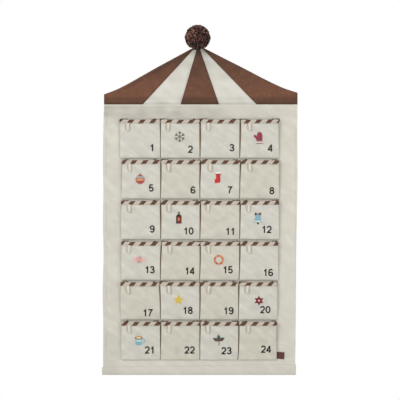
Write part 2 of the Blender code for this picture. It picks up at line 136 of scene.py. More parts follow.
class CalendarPockets(bpy.types.PropertyGroup):
    """Cut and drape of the twenty-four pockets."""
    cloth: size("Pocket cloth", 0.0008, "Thickness of the pocket canvas")
    mouth_depth: size("Mouth depth", 0.0110, "How far a closed mouth stands off the panel")
    foot_depth: size("Foot depth", 0.0036, "How far a pocket's foot stands off the panel")
    fold: size("Gusset fold", 0.0160, "How far a side gusset folds in at the mouth")
    gusset_rise: size("Gusset rise", 0.0028, "How far a folded gusset stands above the front")
    puff: size("Puff", 0.0017, "How far the front swells in its middle")
    crease: size("Crease", 0.00125, "Height of the creases in the front")
    crease_length: size("Crease length", 0.034, "Distance between creases")
    mouth_wave: size("Mouth wave", 0.0007, "How far the mouth wanders from a straight line")
    edge_bow: size("Edge bow", 0.0014, "How far a front's side edge bows inwards")
    mouth_draw: size("Mouth draw", 0.0012, "How much the mouth's corners draw in")
    foot_spread: size("Foot spread", 0.0005, "How far a pocket's foot fills its side gap")
    corner: size("Corner softness", 0.0013, "Reach of the rounded corners")
    cut_width: size("Cut width", 0.184, "Flat width of the cloth of one pocket")
    cut_height: size("Cut height", 0.1055, "Flat height of the cloth of one pocket")
    cool: tint("Pocket canvas", "#d8d5cb", "Most of the pockets")
    # The gusset shade colour is painted shade in the narrow gaps between the pockets
    hollow: tint("Gusset shade", "#b8945c", "Dusty cloth in the narrow gaps between pockets")
    warm: tint("Warmer pocket canvas", "#d6d2c4", "Pockets cut from a second, warmer bolt")


class CalendarTape(bpy.types.PropertyGroup):
    """Striped binding and the small tape loops."""
    height: size("Binding height", 0.0101, "Height of the folded tape at a mouth")
    wall: size("Tape wall", 0.0006, "Thickness of one side of the folded tape")
    pitch: size("Stripe pitch", 0.0288, "Distance from stripe to stripe")
    stripe: size("Stripe width", 0.0132, "Width of a brown stripe along the tape")
    slant: FloatProperty(name="Slant", default=0.85,
                         description="How far a stripe leans for each unit of height")
    loop_width: size("Loop width", 0.0098, "Width of the small tape loop")
    loop_length: size("Loop length", 0.0190, "How far a tape loop hangs below the binding")
    loop_wall: size("Loop wall", 0.0006, "Thickness of the loop's tape")
    brown: tint("Stripe brown", "#563c2e", "Woven brown stripe")
    worn: tint("Worn stripe", "#6e4e3f", "Where a brown stripe is rubbed")
    cream: tint("Stripe cream", "#b9b1a4", "Cream between the stripes")
    loop: tint("Loop tape", "#cfcabd", "Cotton twill tape of the loops")


class CalendarPompom(bpy.types.PropertyGroup):
    """Yarn ball at the roof's tip."""
    tufts: IntProperty(name="Tufts", description="Cut yarn ends", default=1300, min=100)
    yarn: size("Yarn thickness", 0.0027, "Thickness of one cut end of yarn")
    reach: size("Ball radius", 0.0321, "How far the yarn ends reach from the ball's middle")
    stretch: FloatProperty(name="Width share", default=1.03,
                           description="How much wider the ball is than high")
    # The dark yarn is painted shade for the depths between the yarn ends
    dark: tint("Dark yarn", "#150a07", "Depths between the yarn ends")
    light: tint("Light yarn", "#9f6e5f", "Outer ends of the yarn")


class CalendarPrint(bpy.types.PropertyGroup):
    """Printed numbers and embroidered pictures."""
    height: size("Number height", 0.0181, "Height of a digit")
    stroke: FloatProperty(name="Stroke share", default=0.188,
                          description="Stroke width as a share of the height")
    advance: FloatProperty(name="Advance share", default=0.775,
                           description="Distance from digit to digit as a share of the height")
    film: size("Ink film", 0.00014, "Thickness of the printed ink as drawn")
    thread: size("Embroidery thread", 0.00062, "Spacing of the satin stitches as drawn")
    ink: tint("Ink", "#0e0d0d", "Black screen-printing ink")


class CalendarStage(bpy.types.PropertyGroup):
    """Camera, lamps and floor."""
    distance: size("Camera distance", 5.0, "Camera from the cloth")
    frame_width: size("Frame width", 1.0336, "Width of the picture at the cloth")
    frame_x: size("Frame middle across", 0.0047, "Middle of the picture, across")
    frame_z: size("Frame middle height", -0.4223, "Middle of the picture, in height")
    floor_drop: size("Floor drop", 0.16, "Floor below the calendar's foot")
    key: FloatProperty(name="Key lamp", description="Power of the large lamp", default=92.5)
    fill: FloatProperty(name="Fill lamp", description="Power of the fill lamp", default=50.0)
    room: FloatProperty(name="Room light", description="Strength of the light all round",
                        default=0.68)


GROUPS = {"cloth": CalendarCloth, "pockets": CalendarPockets, "tape": CalendarTape,
          "pompom": CalendarPompom, "print": CalendarPrint, "stage": CalendarStage}


def settings(group):
    """One property group of the scene."""
    return getattr(bpy.context.scene, "calendar_" + group)


# Selecting, meshing and finishing
def only(piece):
    """Select one piece alone and make it active."""
    bpy.ops.object.select_all(action='DESELECT')
    piece.select_set(True)
    bpy.context.view_layer.objects.active = piece


def apply(piece, kind, **values):
    """Add a modifier to a piece and apply it."""
    only(piece)
    modifier = piece.modifiers.new(kind.title(), kind)
    for name, value in values.items():
        setattr(modifier, name, value)
    bpy.ops.object.modifier_apply(modifier=modifier.name)


def smooth(piece, degrees=40.0):
    only(piece)
    bpy.ops.object.shade_smooth_by_angle(angle=math.radians(degrees))


def name_piece(piece, name):
    piece.name = name
    piece.data.name = name
    return piece


def cloth_grid(name, columns, rows, place):
    """A sheet from a grid. place gives x, y, z and the flat u, v of columns i and rows j."""
    bpy.ops.object.select_all(action='DESELECT')
    bpy.ops.mesh.primitive_grid_add(x_subdivisions=columns - 1, y_subdivisions=rows - 1,
                                    size=1.0)
    piece = name_piece(bpy.context.object, name)
    mesh = piece.data
    corners = np.zeros(len(mesh.vertices) * 3)
    mesh.vertices.foreach_get("co", corners)
    corners = corners.reshape(-1, 3)
    i = np.rint((corners[:, 0] + 0.5) * (columns - 1)).astype(int)
    j = np.rint((corners[:, 1] + 0.5) * (rows - 1)).astype(int)
    x, y, z, u, v = place(i, j)
    mesh.vertices.foreach_set("co", np.stack([x, y, z], axis=1).ravel())
    of_loop = np.zeros(len(mesh.loops), dtype=int)
    mesh.loops.foreach_get("vertex_index", of_loop)
    flat = np.stack([u, v], axis=1)[of_loop]
    mesh.uv_layers["UVMap"].data.foreach_set("uv", flat.ravel())
    mesh.update()
    return piece


def edit(piece, **steps):
    """Run mesh operators in turn on the whole of a piece, each named with its settings."""
    only(piece)
    bpy.ops.object.mode_set(mode='EDIT')
    bpy.ops.mesh.select_all(action='SELECT')
    for step, values in steps.items():
        getattr(bpy.ops.mesh, step)(**values)
    bpy.ops.object.mode_set(mode='OBJECT')


def join(pieces, name):
    """Join pieces into the first of them and name it."""
    only(pieces[0])
    for piece in pieces[1:]:
        piece.select_set(True)
    if len(pieces) > 1:
        bpy.ops.object.join()
    return name_piece(pieces[0], name)


def thicken(piece, thickness, degrees=40.0):
    """Give a sheet its thickness, half to each side, and shade it smooth."""
    apply(piece, 'SOLIDIFY', thickness=thickness, offset=0.0)
    smooth(piece, degrees)
    return piece


def strands(name, paths, radius, sides_step=0, taper=None):
    """Round threads along paths as one mesh. taper gives a share of the radius per point."""
    curve = bpy.data.curves.new(name, 'CURVE')
    curve.dimensions = '3D'
    curve.bevel_depth = radius
    curve.bevel_resolution = sides_step
    curve.use_fill_caps = True
    for path in paths:
        spline = curve.splines.new('POLY')
        spline.points.add(len(path) - 1)
        places = np.ones((len(path), 4))
        places[:, :3] = path
        spline.points.foreach_set("co", places.ravel())
        if taper:
            spline.points.foreach_set("radius", taper)
    piece = bpy.data.objects.new(name, curve)
    bpy.context.scene.collection.objects.link(piece)
    only(piece)
    bpy.ops.object.convert(target='MESH')
    piece = name_piece(bpy.context.object, name)
    edit(piece, remove_doubles={"threshold": 0.000001})
    smooth(piece, 75.0)
    return piece


def mark(piece, name, shares):
    """Write one share, 0 to 1, to each point of a piece, for its material to read."""
    attribute = piece.data.attributes.new(name, 'FLOAT', 'POINT')
    attribute.data.foreach_set("value", np.asarray(shares, dtype=np.float32))


def keep_outside(piece, name, outward):
    """Clear a mark on the inner side of a thickened sheet. outward tells the sides apart."""
    count = len(outward) // 2
    inner = 0 if outward[:count].mean() < outward[count:].mean() else count
    values = piece.data.attributes[name].data
    shares = np.zeros(len(outward), dtype=np.float32)
    values.foreach_get("value", shares)
    shares[inner:inner + count] = 0.0
    values.foreach_set("value", shares)


def points_of(piece):
    places = np.zeros(len(piece.data.vertices) * 3)
    piece.data.vertices.foreach_get("co", places)
    return places.reshape(-1, 3)


def dress(piece, material, body=None, replaces=()):
    """Give a finished piece its material, its body and the nodes it stands for."""
    piece.data.materials.clear()
    piece.data.materials.append(material)
    if body:
        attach(piece, body)
    if replaces:
        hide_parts(*replaces)
    return piece


def ripple(x, z, length, seed, lean=None):
    """Soft uneven waves, about one high, from crossing waves of several lengths."""
    chance = random.Random(seed)
    height = np.zeros(np.broadcast(x, z).shape)
    for _ in range(6):
        turn = chance.uniform(0, math.pi) if lean is None else lean + chance.gauss(0, 0.28)
        wave = 2 * math.pi / (length * chance.uniform(0.75, 1.7))
        shift = chance.uniform(0, 2 * math.pi)
        height = height + np.sin((x * math.cos(turn) + z * math.sin(turn)) * wave + shift)
    return height / 2.6


def step_in(value, start, end):
    """0 up to the start, 1 past the end, smooth between. The end may be the smaller value."""
    share = np.clip((value - start) / (end - start), 0.0, 1.0)
    return share * share * (3 - 2 * share)


def ridge(off, width):
    """1 along a line and less with the distance off it, nearly 0 at two widths."""
    return np.exp(-(off / width) ** 2)


def eased(points, reach, steps):
    """A path whose inner corners are curves that start and end within reach of them."""
    points = [np.array(point, dtype=float) for point in points]
    path = [points[0]]
    for before, corner, after in zip(points, points[1:], points[2:]):
        ends = []
        for other in (before, after):
            run = max(np.linalg.norm(other - corner), 1e-9)
            ends.append(corner + (other - corner) * min(0.5, reach / run))
        for step in range(steps + 1):
            share = step / steps
            path.append(ends[0] * (1 - share) ** 2 + corner * 2 * share * (1 - share)
                        + ends[1] * share ** 2)
    path.append(points[-1])
    return np.array(path)


def arc_lengths(path):
    """Distance along a path to each of its points."""
    runs = np.linalg.norm(np.diff(path, axis=0), axis=1)
    return np.concatenate([[0.0], np.cumsum(runs)])


STITCH_SHARES = (0.0, 0.15, 0.5525, 0.65)    # of one stitch's pitch; the rest is its gap


def stitches(start, end, pitch):
    """Running stitches along a straight line, as short paths."""
    start, end = np.array(start), np.array(end)
    count = max(1, round(np.linalg.norm(end - start) / pitch))
    return [np.array([start + (end - start) * (at + share) / count for share in STITCH_SHARES])
            for at in range(count)]


# Materials
SHARE, BASE, COLOUR, MIXED = 0, 6, 7, 2      # sockets of a mix of colours


def add(tree, kind, inputs=(), output=0, **values):
    """Add a node and return one of its outputs.

    inputs are links or constants, in the order of the sockets or by socket. values are the
    node's own settings.
    """
    node = tree.nodes.new("ShaderNode" + kind)
    for name, value in values.items():
        setattr(node, name, value)
    by_socket = inputs if isinstance(inputs, dict) else dict(enumerate(inputs))
    for socket, value in by_socket.items():
        if isinstance(value, bpy.types.NodeSocket):
            tree.links.new(value, node.inputs[socket])
        else:
            node.inputs[socket].default_value = value
    return node.outputs[output]


def new_material(name, roughness, **constants):
    """An empty material and its nodes. constants are set on its shader's own sockets."""
    material = bpy.data.materials.new(name)
    material.use_nodes = True
    shader = material.node_tree.nodes["Principled BSDF"]
    shader.inputs["Roughness"].default_value = roughness
    for socket, value in constants.items():
        shader.inputs[socket.replace("_", " ")].default_value = value
    return material, material.node_tree


def cover(material, colour, height, depth, strength):
    """Link a material's colour and its raised threads, whose depth is in millimetres."""
    tree = material.node_tree
    shader = tree.nodes["Principled BSDF"]
    raised = add(tree, "Bump", {"Height": height, "Distance": depth * MILLIMETRE,
                                "Strength": strength})
    tree.links.new(colour, shader.inputs["Base Color"])
    tree.links.new(raised, shader.inputs["Normal"])
    return material


def shaded(colour, share):
    """A colour made lighter or darker by a share."""
    return (*[min(1.0, channel * share) for channel in colour[:3]], 1.0)


def laid(tree, base, colour, value, low=0.0, high=1.0, to_low=0.0, to_high=1.0):
    """A colour laid over a base. Its share follows a value that goes from low to high."""
    share = add(tree, "MapRange", (value, low, high, to_low, to_high))
    return add(tree, "Mix", {SHARE: share, BASE: base, COLOUR: colour}, MIXED,
               data_type='RGBA')


def waves(tree, place, spacing, direction):
    """Threads lying side by side: one wave for each spacing, in millimetres."""
    scale = math.pi / (10 * spacing * MILLIMETRE)
    return add(tree, "TexWave", {"Vector": place, "Scale": scale}, "Fac", wave_type='BANDS',
               bands_direction=direction)


def clouds(tree, place, length, detail=3.0):
    """Soft patches about a length across, in millimetres."""
    scale = 1 / (length * MILLIMETRE)
    return add(tree, "TexNoise", {"Vector": place, "Scale": scale, "Detail": detail}, "Fac")


def streaks(tree, place, length, width):
    """Long soft streaks along the first direction, in millimetres."""
    scale = (1 / (length * MILLIMETRE), 1 / (width * MILLIMETRE), 1.0)
    drawn = add(tree, "Mapping", {"Vector": place, "Scale": scale})
    return add(tree, "TexNoise", {"Vector": drawn, "Scale": 1.0, "Detail": 2.0}, "Fac")


def plain_weave(tree, place):
    """Height of a plain weave: warp on top in one check, weft in the next."""
    thread = settings("cloth").thread
    check = add(tree, "TexChecker", {"Vector": place, "Scale": 1 / thread}, "Fac")
    other = add(tree, "Math", (1.0, check), operation='SUBTRACT')
    warp, weft = (add(tree, "Math", (top, waves(tree, place, thread / MILLIMETRE, direction)),
                      operation='MULTIPLY')
                  for top, direction in ((check, 'X'), (other, 'Y')))
    return add(tree, "Math", (warp, weft), operation='ADD')


def canvas(name, colour, patch, lighter=None, mottle=0.0, sheen=0.10, hollow=None):
    """Plain-woven cotton canvas: matt, with slubs, faint patches and a dry bloom.

    The real thread lies about 0.6 mm apart. It is drawn near 1.1 mm, to show from a step away.
    """
    material, tree = new_material(name, 0.93, Sheen_Weight=sheen, Sheen_Roughness=0.6,
                                  Specular_IOR_Level=0.18)
    place = add(tree, "UVMap", uv_map="UVMap")
    crosswise, slant = (add(tree, "Mapping", {"Vector": place, "Rotation": (0, 0, turn)})
                        for turn in (math.pi / 2, 0.55))
    weave = plain_weave(tree, place)
    across, down = (add(tree, "MapRange", (threads, 0.58, 0.80))
                    for threads in (streaks(tree, place, 26, 1.6),
                                    streaks(tree, crosswise, 34, 1.9)))
    slubs = add(tree, "Math", (across, down), operation='ADD')
    darkened = shaded(colour, 1 - patch)
    base = laid(tree, darkened, colour, clouds(tree, place, 22), 0.30, 0.70)
    if lighter:
        base = laid(tree, base, lighter, clouds(tree, place, 9, 5.0), 0.45, 0.78, 0.0, mottle)
    base = laid(tree, base, shaded(colour, 1.07), slubs, 0.0, 2.0)
    base = laid(tree, darkened, base, streaks(tree, slant, 70, 17), 0.35, 0.62)
    # The shade mark lays painted shade, a mix towards dark brown
    shade = add(tree, "Attribute", output="Fac", attribute_name="shade")
    base = laid(tree, base, srgb("#3a2f24"), shade, 0.0, 2.0)
    # Painted shade between the threads of the weave
    base = laid(tree, base, shaded(colour, 0.74), weave, 0.0, 0.55, 0.42, 0.0)
    # Painted shade in the gaps between the pockets, laid by the gusset mark
    if hollow:
        gusset = add(tree, "Attribute", output="Fac", attribute_name="gusset")
        base = laid(tree, base, hollow, gusset, 0.0, 1.0, 0.0, 0.85)
    raised = add(tree, "Math", (slubs, 0.8, weave), operation='MULTIPLY_ADD')
    return cover(material, base, raised, 0.25, 0.8)


def striped_tape(name):
    """Bias-cut cotton binding with woven brown stripes, worn paler in their middles."""
    tape = settings("tape")
    material, tree = new_material(name, 0.90, Sheen_Weight=0.08, Specular_IOR_Level=0.2)
    place = add(tree, "UVMap", uv_map="UVMap")
    along, up = (add(tree, "SeparateXYZ", (place,), axis) for axis in (0, 1))
    wander = add(tree, "Math", (clouds(tree, place, 4), 1.6 * MILLIMETRE, -0.8 * MILLIMETRE),
                 operation='MULTIPLY_ADD')
    leaning = add(tree, "Math", (up, -tape.slant, along), operation='MULTIPLY_ADD')
    wavy = add(tree, "Math", (leaning, wander), operation='ADD')
    turns = add(tree, "Math", (wavy, tape.pitch), operation='DIVIDE')
    apart = add(tree, "Math", (turns, 0.5, -0.5), operation='WRAP')
    off = add(tree, "Math", (apart,), operation='ABSOLUTE')
    half = tape.stripe / tape.pitch / 2
    edge = 0.45 * MILLIMETRE / tape.pitch
    rub = add(tree, "MapRange", (clouds(tree, place, 6, 4.0), 0.42, 0.70))
    middle = add(tree, "MapRange", (off, half, 0.0))
    rubbed = add(tree, "Math", (rub, middle), operation='MULTIPLY')
    brown = laid(tree, tape.brown, tape.worn, rubbed)
    base = laid(tree, tape.cream, brown, off, half + edge, half - edge)
    twill = waves(tree, place, 0.9, 'DIAGONAL')
    # Painted shade between the twill's ribs
    base = laid(tree, base, srgb("#4a3126"), twill, 0.0, 0.5, 0.105, 0.0)
    # Painted shade where the binding turns into the gaps between pockets, laid by the gusset mark
    gusset = add(tree, "Attribute", output="Fac", attribute_name="gusset")
    base = laid(tree, base, srgb("#43291d"), gusset, 0.0, 1.0, 0.0, 0.8)
    return cover(material, base, twill, 0.16, 0.7)


def twill_tape(name, colour):
    """Cotton twill tape: fine slanting ribs with painted shade between them, soft and matt, and
    painted shade along its edges.
    """
    material, tree = new_material(name, 0.90, Sheen_Weight=0.10, Specular_IOR_Level=0.2)
    place = add(tree, "UVMap", uv_map="UVMap")
    ribs = waves(tree, place, 1.1, 'DIAGONAL')
    base = laid(tree, shaded(colour, 0.93), colour, clouds(tree, place, 5), 0.3, 0.7)
    # Painted shade between the ribs
    base = laid(tree, base, shaded(colour, 0.78), ribs, 0.0, 0.5, 0.35, 0.0)
    # Painted shade along the tape's edges
    off = add(tree, "Math", (add(tree, "SeparateXYZ", (place,)),), operation='ABSOLUTE')
    base = laid(tree, base, srgb("#988a70"), off, 2.2 * MILLIMETRE, 4.4 * MILLIMETRE, 0.0, 0.60)
    return cover(material, base, ribs, 0.18, 0.7)


def yarn(name):
    """Cut wool yarn: painted shade in the depths and in its twist, paler and fuzzy at the ends, no
    two tufts alike.
    """
    ball = settings("pompom")
    material, tree = new_material(name, 0.95, Sheen_Weight=0.12, Sheen_Roughness=0.5,
                                  Specular_IOR_Level=0.15)
    place = add(tree, "TexCoord", output="Object")
    cells = [add(tree, "TexVoronoi", {"Vector": place, "Scale": 1 / (across * MILLIMETRE)},
                 "Color") for across in (2.6, 5.2)]
    shades = [add(tree, "SeparateXYZ", (cell,)) for cell in cells]
    both = add(tree, "Math", shades, operation='ADD')
    outer = add(tree, "Attribute", output="Fac", attribute_name="tip")
    share = add(tree, "Math", (outer, add(tree, "MapRange", (both, 0.76, 1.32))),
                operation='MULTIPLY')
    twist = streaks(tree, place, 0.5, 0.9)
    colour = laid(tree, ball.dark, ball.light, share)
    # Painted shade in the grooves of the twisted yarn
    colour = laid(tree, colour, shaded(ball.dark, 0.7), twist, 0.35, 0.6, 0.35, 0.0)
    return cover(material, colour, twist, 0.4, 0.8)


def beech(name):
    """Turned beech rod, sanded and left raw: pale, with short dark flecks along the grain."""
    material, tree = new_material(name, 0.55, Specular_IOR_Level=0.35)
    place = add(tree, "TexCoord", output="Object")
    grain = streaks(tree, place, 60, 1.6)
    wood = laid(tree, srgb("#cfae84"), srgb("#dcc09a"), grain, 0.35, 0.65)
    fleck = streaks(tree, place, 4, 0.5)
    wood = laid(tree, wood, srgb("#a67f55"), fleck, 0.60, 0.72, 0.0, 0.7)
    return cover(material, wood, grain, 0.12, 0.5)


def woven_label(name):
    """Damask-woven polyester label: fine ribs across, a low satin gloss."""
    material, tree = new_material(name, 0.62, Sheen_Weight=0.10, Specular_IOR_Level=0.4)
    place = add(tree, "UVMap", uv_map="UVMap")
    ribs = waves(tree, place, 0.8, 'Y')
    picks = waves(tree, place, 0.9, 'X')
    base = laid(tree, srgb("#482120"), srgb("#592b29"), clouds(tree, place, 3), 0.3, 0.7)
    # Painted shade between the ribs
    base = laid(tree, base, srgb("#321412"), ribs, 0.0, 0.5, 0.5, 0.0)
    base = laid(tree, base, srgb("#6d403b"), picks, 0.6, 1.0, 0.0, 0.25)
    return cover(material, base, add(tree, "Math", (ribs, picks), operation='ADD'), 0.12, 0.8)


def spun_thread(name, colour, gloss=0.55):
    """Embroidery or sewing thread: twisted plies that catch a soft light."""
    material, tree = new_material(name, gloss, Sheen_Weight=0.15, Specular_IOR_Level=0.35)
    place = add(tree, "TexCoord", output="Object")
    plies = waves(tree, place, 0.7, 'DIAGONAL')
    base = laid(tree, shaded(colour, 0.86), colour, clouds(tree, place, 2), 0.3, 0.7)
    # Painted shade between the plies
    base = laid(tree, base, shaded(colour, 0.7), plies, 0.0, 0.5, 0.3, 0.0)
    return cover(material, base, plies, 0.1, 0.6)


def screen_ink(name, colour):
    """Screen-printing ink on canvas: matt, thin, and broken a little by the weave."""
    material, tree = new_material(name, 0.70, Specular_IOR_Level=0.3)
    place = add(tree, "TexCoord", output="Object")
    flat = add(tree, "Mapping", {"Vector": place, "Rotation": (math.pi / 2, 0, 0)})
    weave = plain_weave(tree, flat)
    base = laid(tree, colour, srgb("#4a4845"), clouds(tree, place, 3), 0.45, 0.8, 0.0, 0.06)
    base = laid(tree, base, srgb("#55524e"), weave, 0.0, 0.4, 0.08, 0.0)
    return cover(material, base, weave, 0.1, 0.5)


def finish(kind, name, *values, **options):
    """A finish made once and shared by every piece that has it."""
    return bpy.data.materials.get(name) or kind(name, *values, **options)


def sew(name, paths, radius, body):
    """Stitches of cotton thread along paths, which ride on a body."""
    thread = finish(spun_thread, "sewing_thread", settings("cloth").sewing_thread, 0.6)
    return dress(strands(name, paths, radius), thread, body)


# Backing panel and roof
ROOF_EDGE_SHARES = ((0.0, 0.0), (0.45, 0.465), (0.72, 0.76), (0.86, 0.90), (0.95, 0.965),
                    (1.0, 1.0))
BORDER_SHARES = (0.0, 0.203, 0.396, 0.594, 0.785, 1.0)
EAVES = SEAM + 0.0245            # foot of the roof's sloping edges
LINING_INSET = 0.0016            # the lining stays hidden behind the gores
CREASE = FOOT + 0.0362           # a fold pressed across the cloth above the foot's sleeve
PANEL_COLUMNS = 119
PANEL_ROWS = 145
GAP_REACH = 0.0085               # this near a gap, the panel's columns lie close together
ROOF_EDGE = eased([(*share, 0.0) for share in ROOF_EDGE_SHARES], 0.06, 5)


def roof_edge(z, side_x):
    """Where the roof's edge lies at a height: down the slope, then down the eaves."""
    down = (APEX - z) / (APEX - EAVES)
    down = down + 0.036 * down ** 3 * (side_x > 0)
    return side_x * np.interp(down, ROOF_EDGE[:, 1], ROOF_EDGE[:, 0])


def border(index, z):
    """Where the seam between two gores, or the roof's own edge, lies at a height."""
    if index in (0, len(BORDER_SHARES) - 1):
        return roof_edge(z, LEFT if index == 0 else RIGHT)
    foot = LEFT + (RIGHT - LEFT) * BORDER_SHARES[index]
    return foot * (SEAMS_MEET - z) / (SEAMS_MEET - SEAM)


def side_edge(z, side):
    """The panel's left or right edge at a height, wandering a little and drawn in below."""
    cloth = settings("cloth")
    below = step_in(SEAM - z, 0.0, SEAM - FOOT)
    wander = cloth.edge_wave * ripple(0.0 * z, z, 0.16, 7 + side) * step_in(SEAM - z, 0, 0.06)
    edge = LEFT if side < 0 else RIGHT
    x = np.where(z > SEAM, roof_edge(z, edge) - side * LINING_INSET, edge)
    spread = side * (side < 0) * 0.0023 * step_in(SEAM - z, 0.0, 0.075)
    sleeve = side * 0.0032 * step_in(FOOT + 0.0258 + side * 0.0033 - z, 0.0, 0.004)
    taper = (cloth.foot_taper + 0.0012 * step_in(SEAM - z, 0.58, 0.64)) * below ** 1.5
    return x + wander + spread + sleeve - (side > 0) * taper


def sleeve_line(x):
    """Height of the seam above the lower rod, a little higher at the right."""
    return FOOT + 0.0243 + 0.0035 * x / RIGHT


def outside_grid(x, z):
    """1 in the panel's margins and 0 behind the pockets, where the cloth is held flat."""
    away = 0.016
    inside = (step_in(x, GRID_LEFT - away, GRID_LEFT) * step_in(x, GRID_RIGHT + away, GRID_RIGHT)
              * step_in(z, GRID_BOTTOM - away, GRID_BOTTOM)
              * step_in(z, GRID_TOP + away, GRID_TOP))
    return 1 - inside


def panel_relief(x, z):
    """How far the hanging cloth stands forward of its flat place."""
    cloth = settings("cloth")
    in_panel = step_in(SEAM - z, 0.0, 0.012) * step_in(z, FOOT + 0.026, FOOT + 0.046)
    lean = ripple(x, z, 0.075, 3, lean=0.9) + 0.6 * ripple(x, z, 0.032, 4)
    across = ripple(0.35 * x, z, 0.024, 5) * step_in(z, GRID_TOP, GRID_TOP + 0.02)
    seam_ridge = 0.0010 * ridge(SEAM - z - 0.0026, 0.0017)
    rod = 0.0013 * ridge(z - FOOT - 0.0080, 0.0065)
    sewn = -0.0007 * ridge(z - sleeve_line(x), 0.0011)
    crease = 0.0006 * ridge(z - CREASE, 0.0013) * outside_grid(x, z + 0.004)
    hem = 0.00060 * sum(step_in(side * (x - edge), -cloth.hem, -cloth.hem + 0.001)
                        for side, edge in SIDES) * (z < SEAM)
    waves_here = cloth.ripple_height * (0.75 * lean + 0.55 * across) * outside_grid(x, z)
    over_rod = step_in(z, GRID_TOP - 0.006, GRID_TOP + 0.004)
    raised = (waves_here + np.sqrt(waves_here ** 2 + 0.0004 ** 2)) / 2
    waves_here = waves_here + (raised - waves_here) * over_rod
    return waves_here * in_panel + seam_ridge + rod + sewn + crease + hem


def panel_shade(x, z):
    """Painted shade on the panel: under the roof in soft blotches, most at the left, along the
    left margin, at the foot, and in the sleeve's seam and the pressed crease, with a little
    painted light just above that seam. Elsewhere it is a little darker, unevenly.
    """
    under_roof = step_in(z, GRID_TOP - 0.004, GRID_TOP + 0.010) * step_in(SEAM - z, 0.003, 0.008)
    toward_left = 1 - 0.80 * step_in(x, -0.02, 0.14)
    blotches = 0.78 + 0.22 * ripple(0.3 * x, z, 0.020, 41) + 0.2 * ripple(x, z, 0.05, 42)
    below = 0.06 * step_in(FOOT + 0.020 - z, 0.0, 0.016)
    left = step_in(x, GRID_LEFT, GRID_LEFT - 0.02) * (0.08 + 0.06 * step_in(z, -0.60, -0.80))
    lines = (0.30 * ridge(z - sleeve_line(x), 0.0009)
             + 0.16 * ridge(z - CREASE, 0.0011) * outside_grid(x, z + 0.004))
    lighter = 0.07 * step_in(FOOT + 0.044 - z, 0.0, 0.008) * step_in(z - FOOT, 0.020, 0.026)
    return np.clip(0.48 * under_roof * toward_left * blotches + below + left + lines - lighter
                   + 0.05 * ripple(x, z, 0.11, 43) + 0.07, 0.0, 1.0)


def gap_depth(z):
    """Up a row: 0.3 at the feet, 1 in the deep gap above and 0 from near the mouths on."""
    up = np.mod(z - GRID_BOTTOM, ROW_PITCH)
    below_mouth = step_in(up, BINDING_TOP - 0.004, BINDING_TOP - 0.010)
    return (0.3 + 0.7 * step_in(up, 0.0, 0.070)) * below_mouth


def gap_places(z):
    """Where the middles of the three gaps between pockets lie at a height."""
    rows = (z - GRID_BOTTOM) / ROW_PITCH
    row = 5 - np.clip(np.floor(rows), 0, 5).astype(int)
    level = np.clip(np.mod(rows, 1.0) * 1.06, 0, 1)
    foot, mouth = (np.array(table)[row].T for table in (FOOT_STRAYS, MOUTH_STRAYS))
    return [gap + (low + (high - low) * level) * MILLIMETRE
            for gap, low, high in zip(GAPS, foot, mouth)]


def panel_gaps(x, z):
    """How much painted shade lies on the cloth in the narrow gaps between the pockets, from 0 to
    1.
    """
    near = sum(step_in(np.abs(x - gap), 0.0026, 0.0014) for gap in gap_places(z))
    return near * gap_depth(z) * step_in(z, GRID_BOTTOM, GRID_BOTTOM + 0.010) * (z < GRID_TOP)


def panel_columns():
    """Places across the panel, close together at its hems and at the gaps between pockets."""
    hem = settings("cloth").hem
    even = np.linspace(LEFT, RIGHT, PANEL_COLUMNS)
    even = even[np.abs(even[:, None] - np.array(GAPS)).min(axis=1) > GAP_REACH]
    near = [gap + off * MILLIMETRE for gap in GAPS for off in np.arange(-7.2, 7.3, 1.2)]
    edges = [edge - side * inset for side, edge in SIDES
             for inset in (0.0012, hem - 0.0011, hem + 0.0001)]
    return np.sort(np.concatenate([even, near, edges]))


def panel_path():
    """Section of the panel from its rear stitches, round the lower rod and up to the apex."""
    cloth = settings("cloth")
    front, rear = (CLOTH_FRONT + CLOTH_BACK) / 2, -CLOTH / 2
    tongue = CLOTH_BACK + TOUCH + CLOTH / 2
    low, top = FOOT + CLOTH / 2, FOOT + cloth.foot_sleeve
    foot = eased([(0, tongue, top), (0, tongue, top - 0.005), (0, rear, top - 0.0165),
                  (0, rear, low), (0, front, low), (0, front, low + 0.008)], 0.0034, 4)
    rise = np.concatenate([np.linspace(low + 0.012, FOOT + 0.0400, 32),
                           np.linspace(FOOT + 0.0420, SEAM - 0.0100, PANEL_ROWS),
                           np.linspace(SEAM - 0.0090, SEAM - 0.0010, 9)])
    roof = np.linspace(SEAM + 0.0004, APEX - 0.002, PANEL_ROWS // 4)
    upper = np.concatenate([rise, roof])
    return np.concatenate([foot, np.stack([0 * upper, 0 * upper + front, upper], axis=1)])


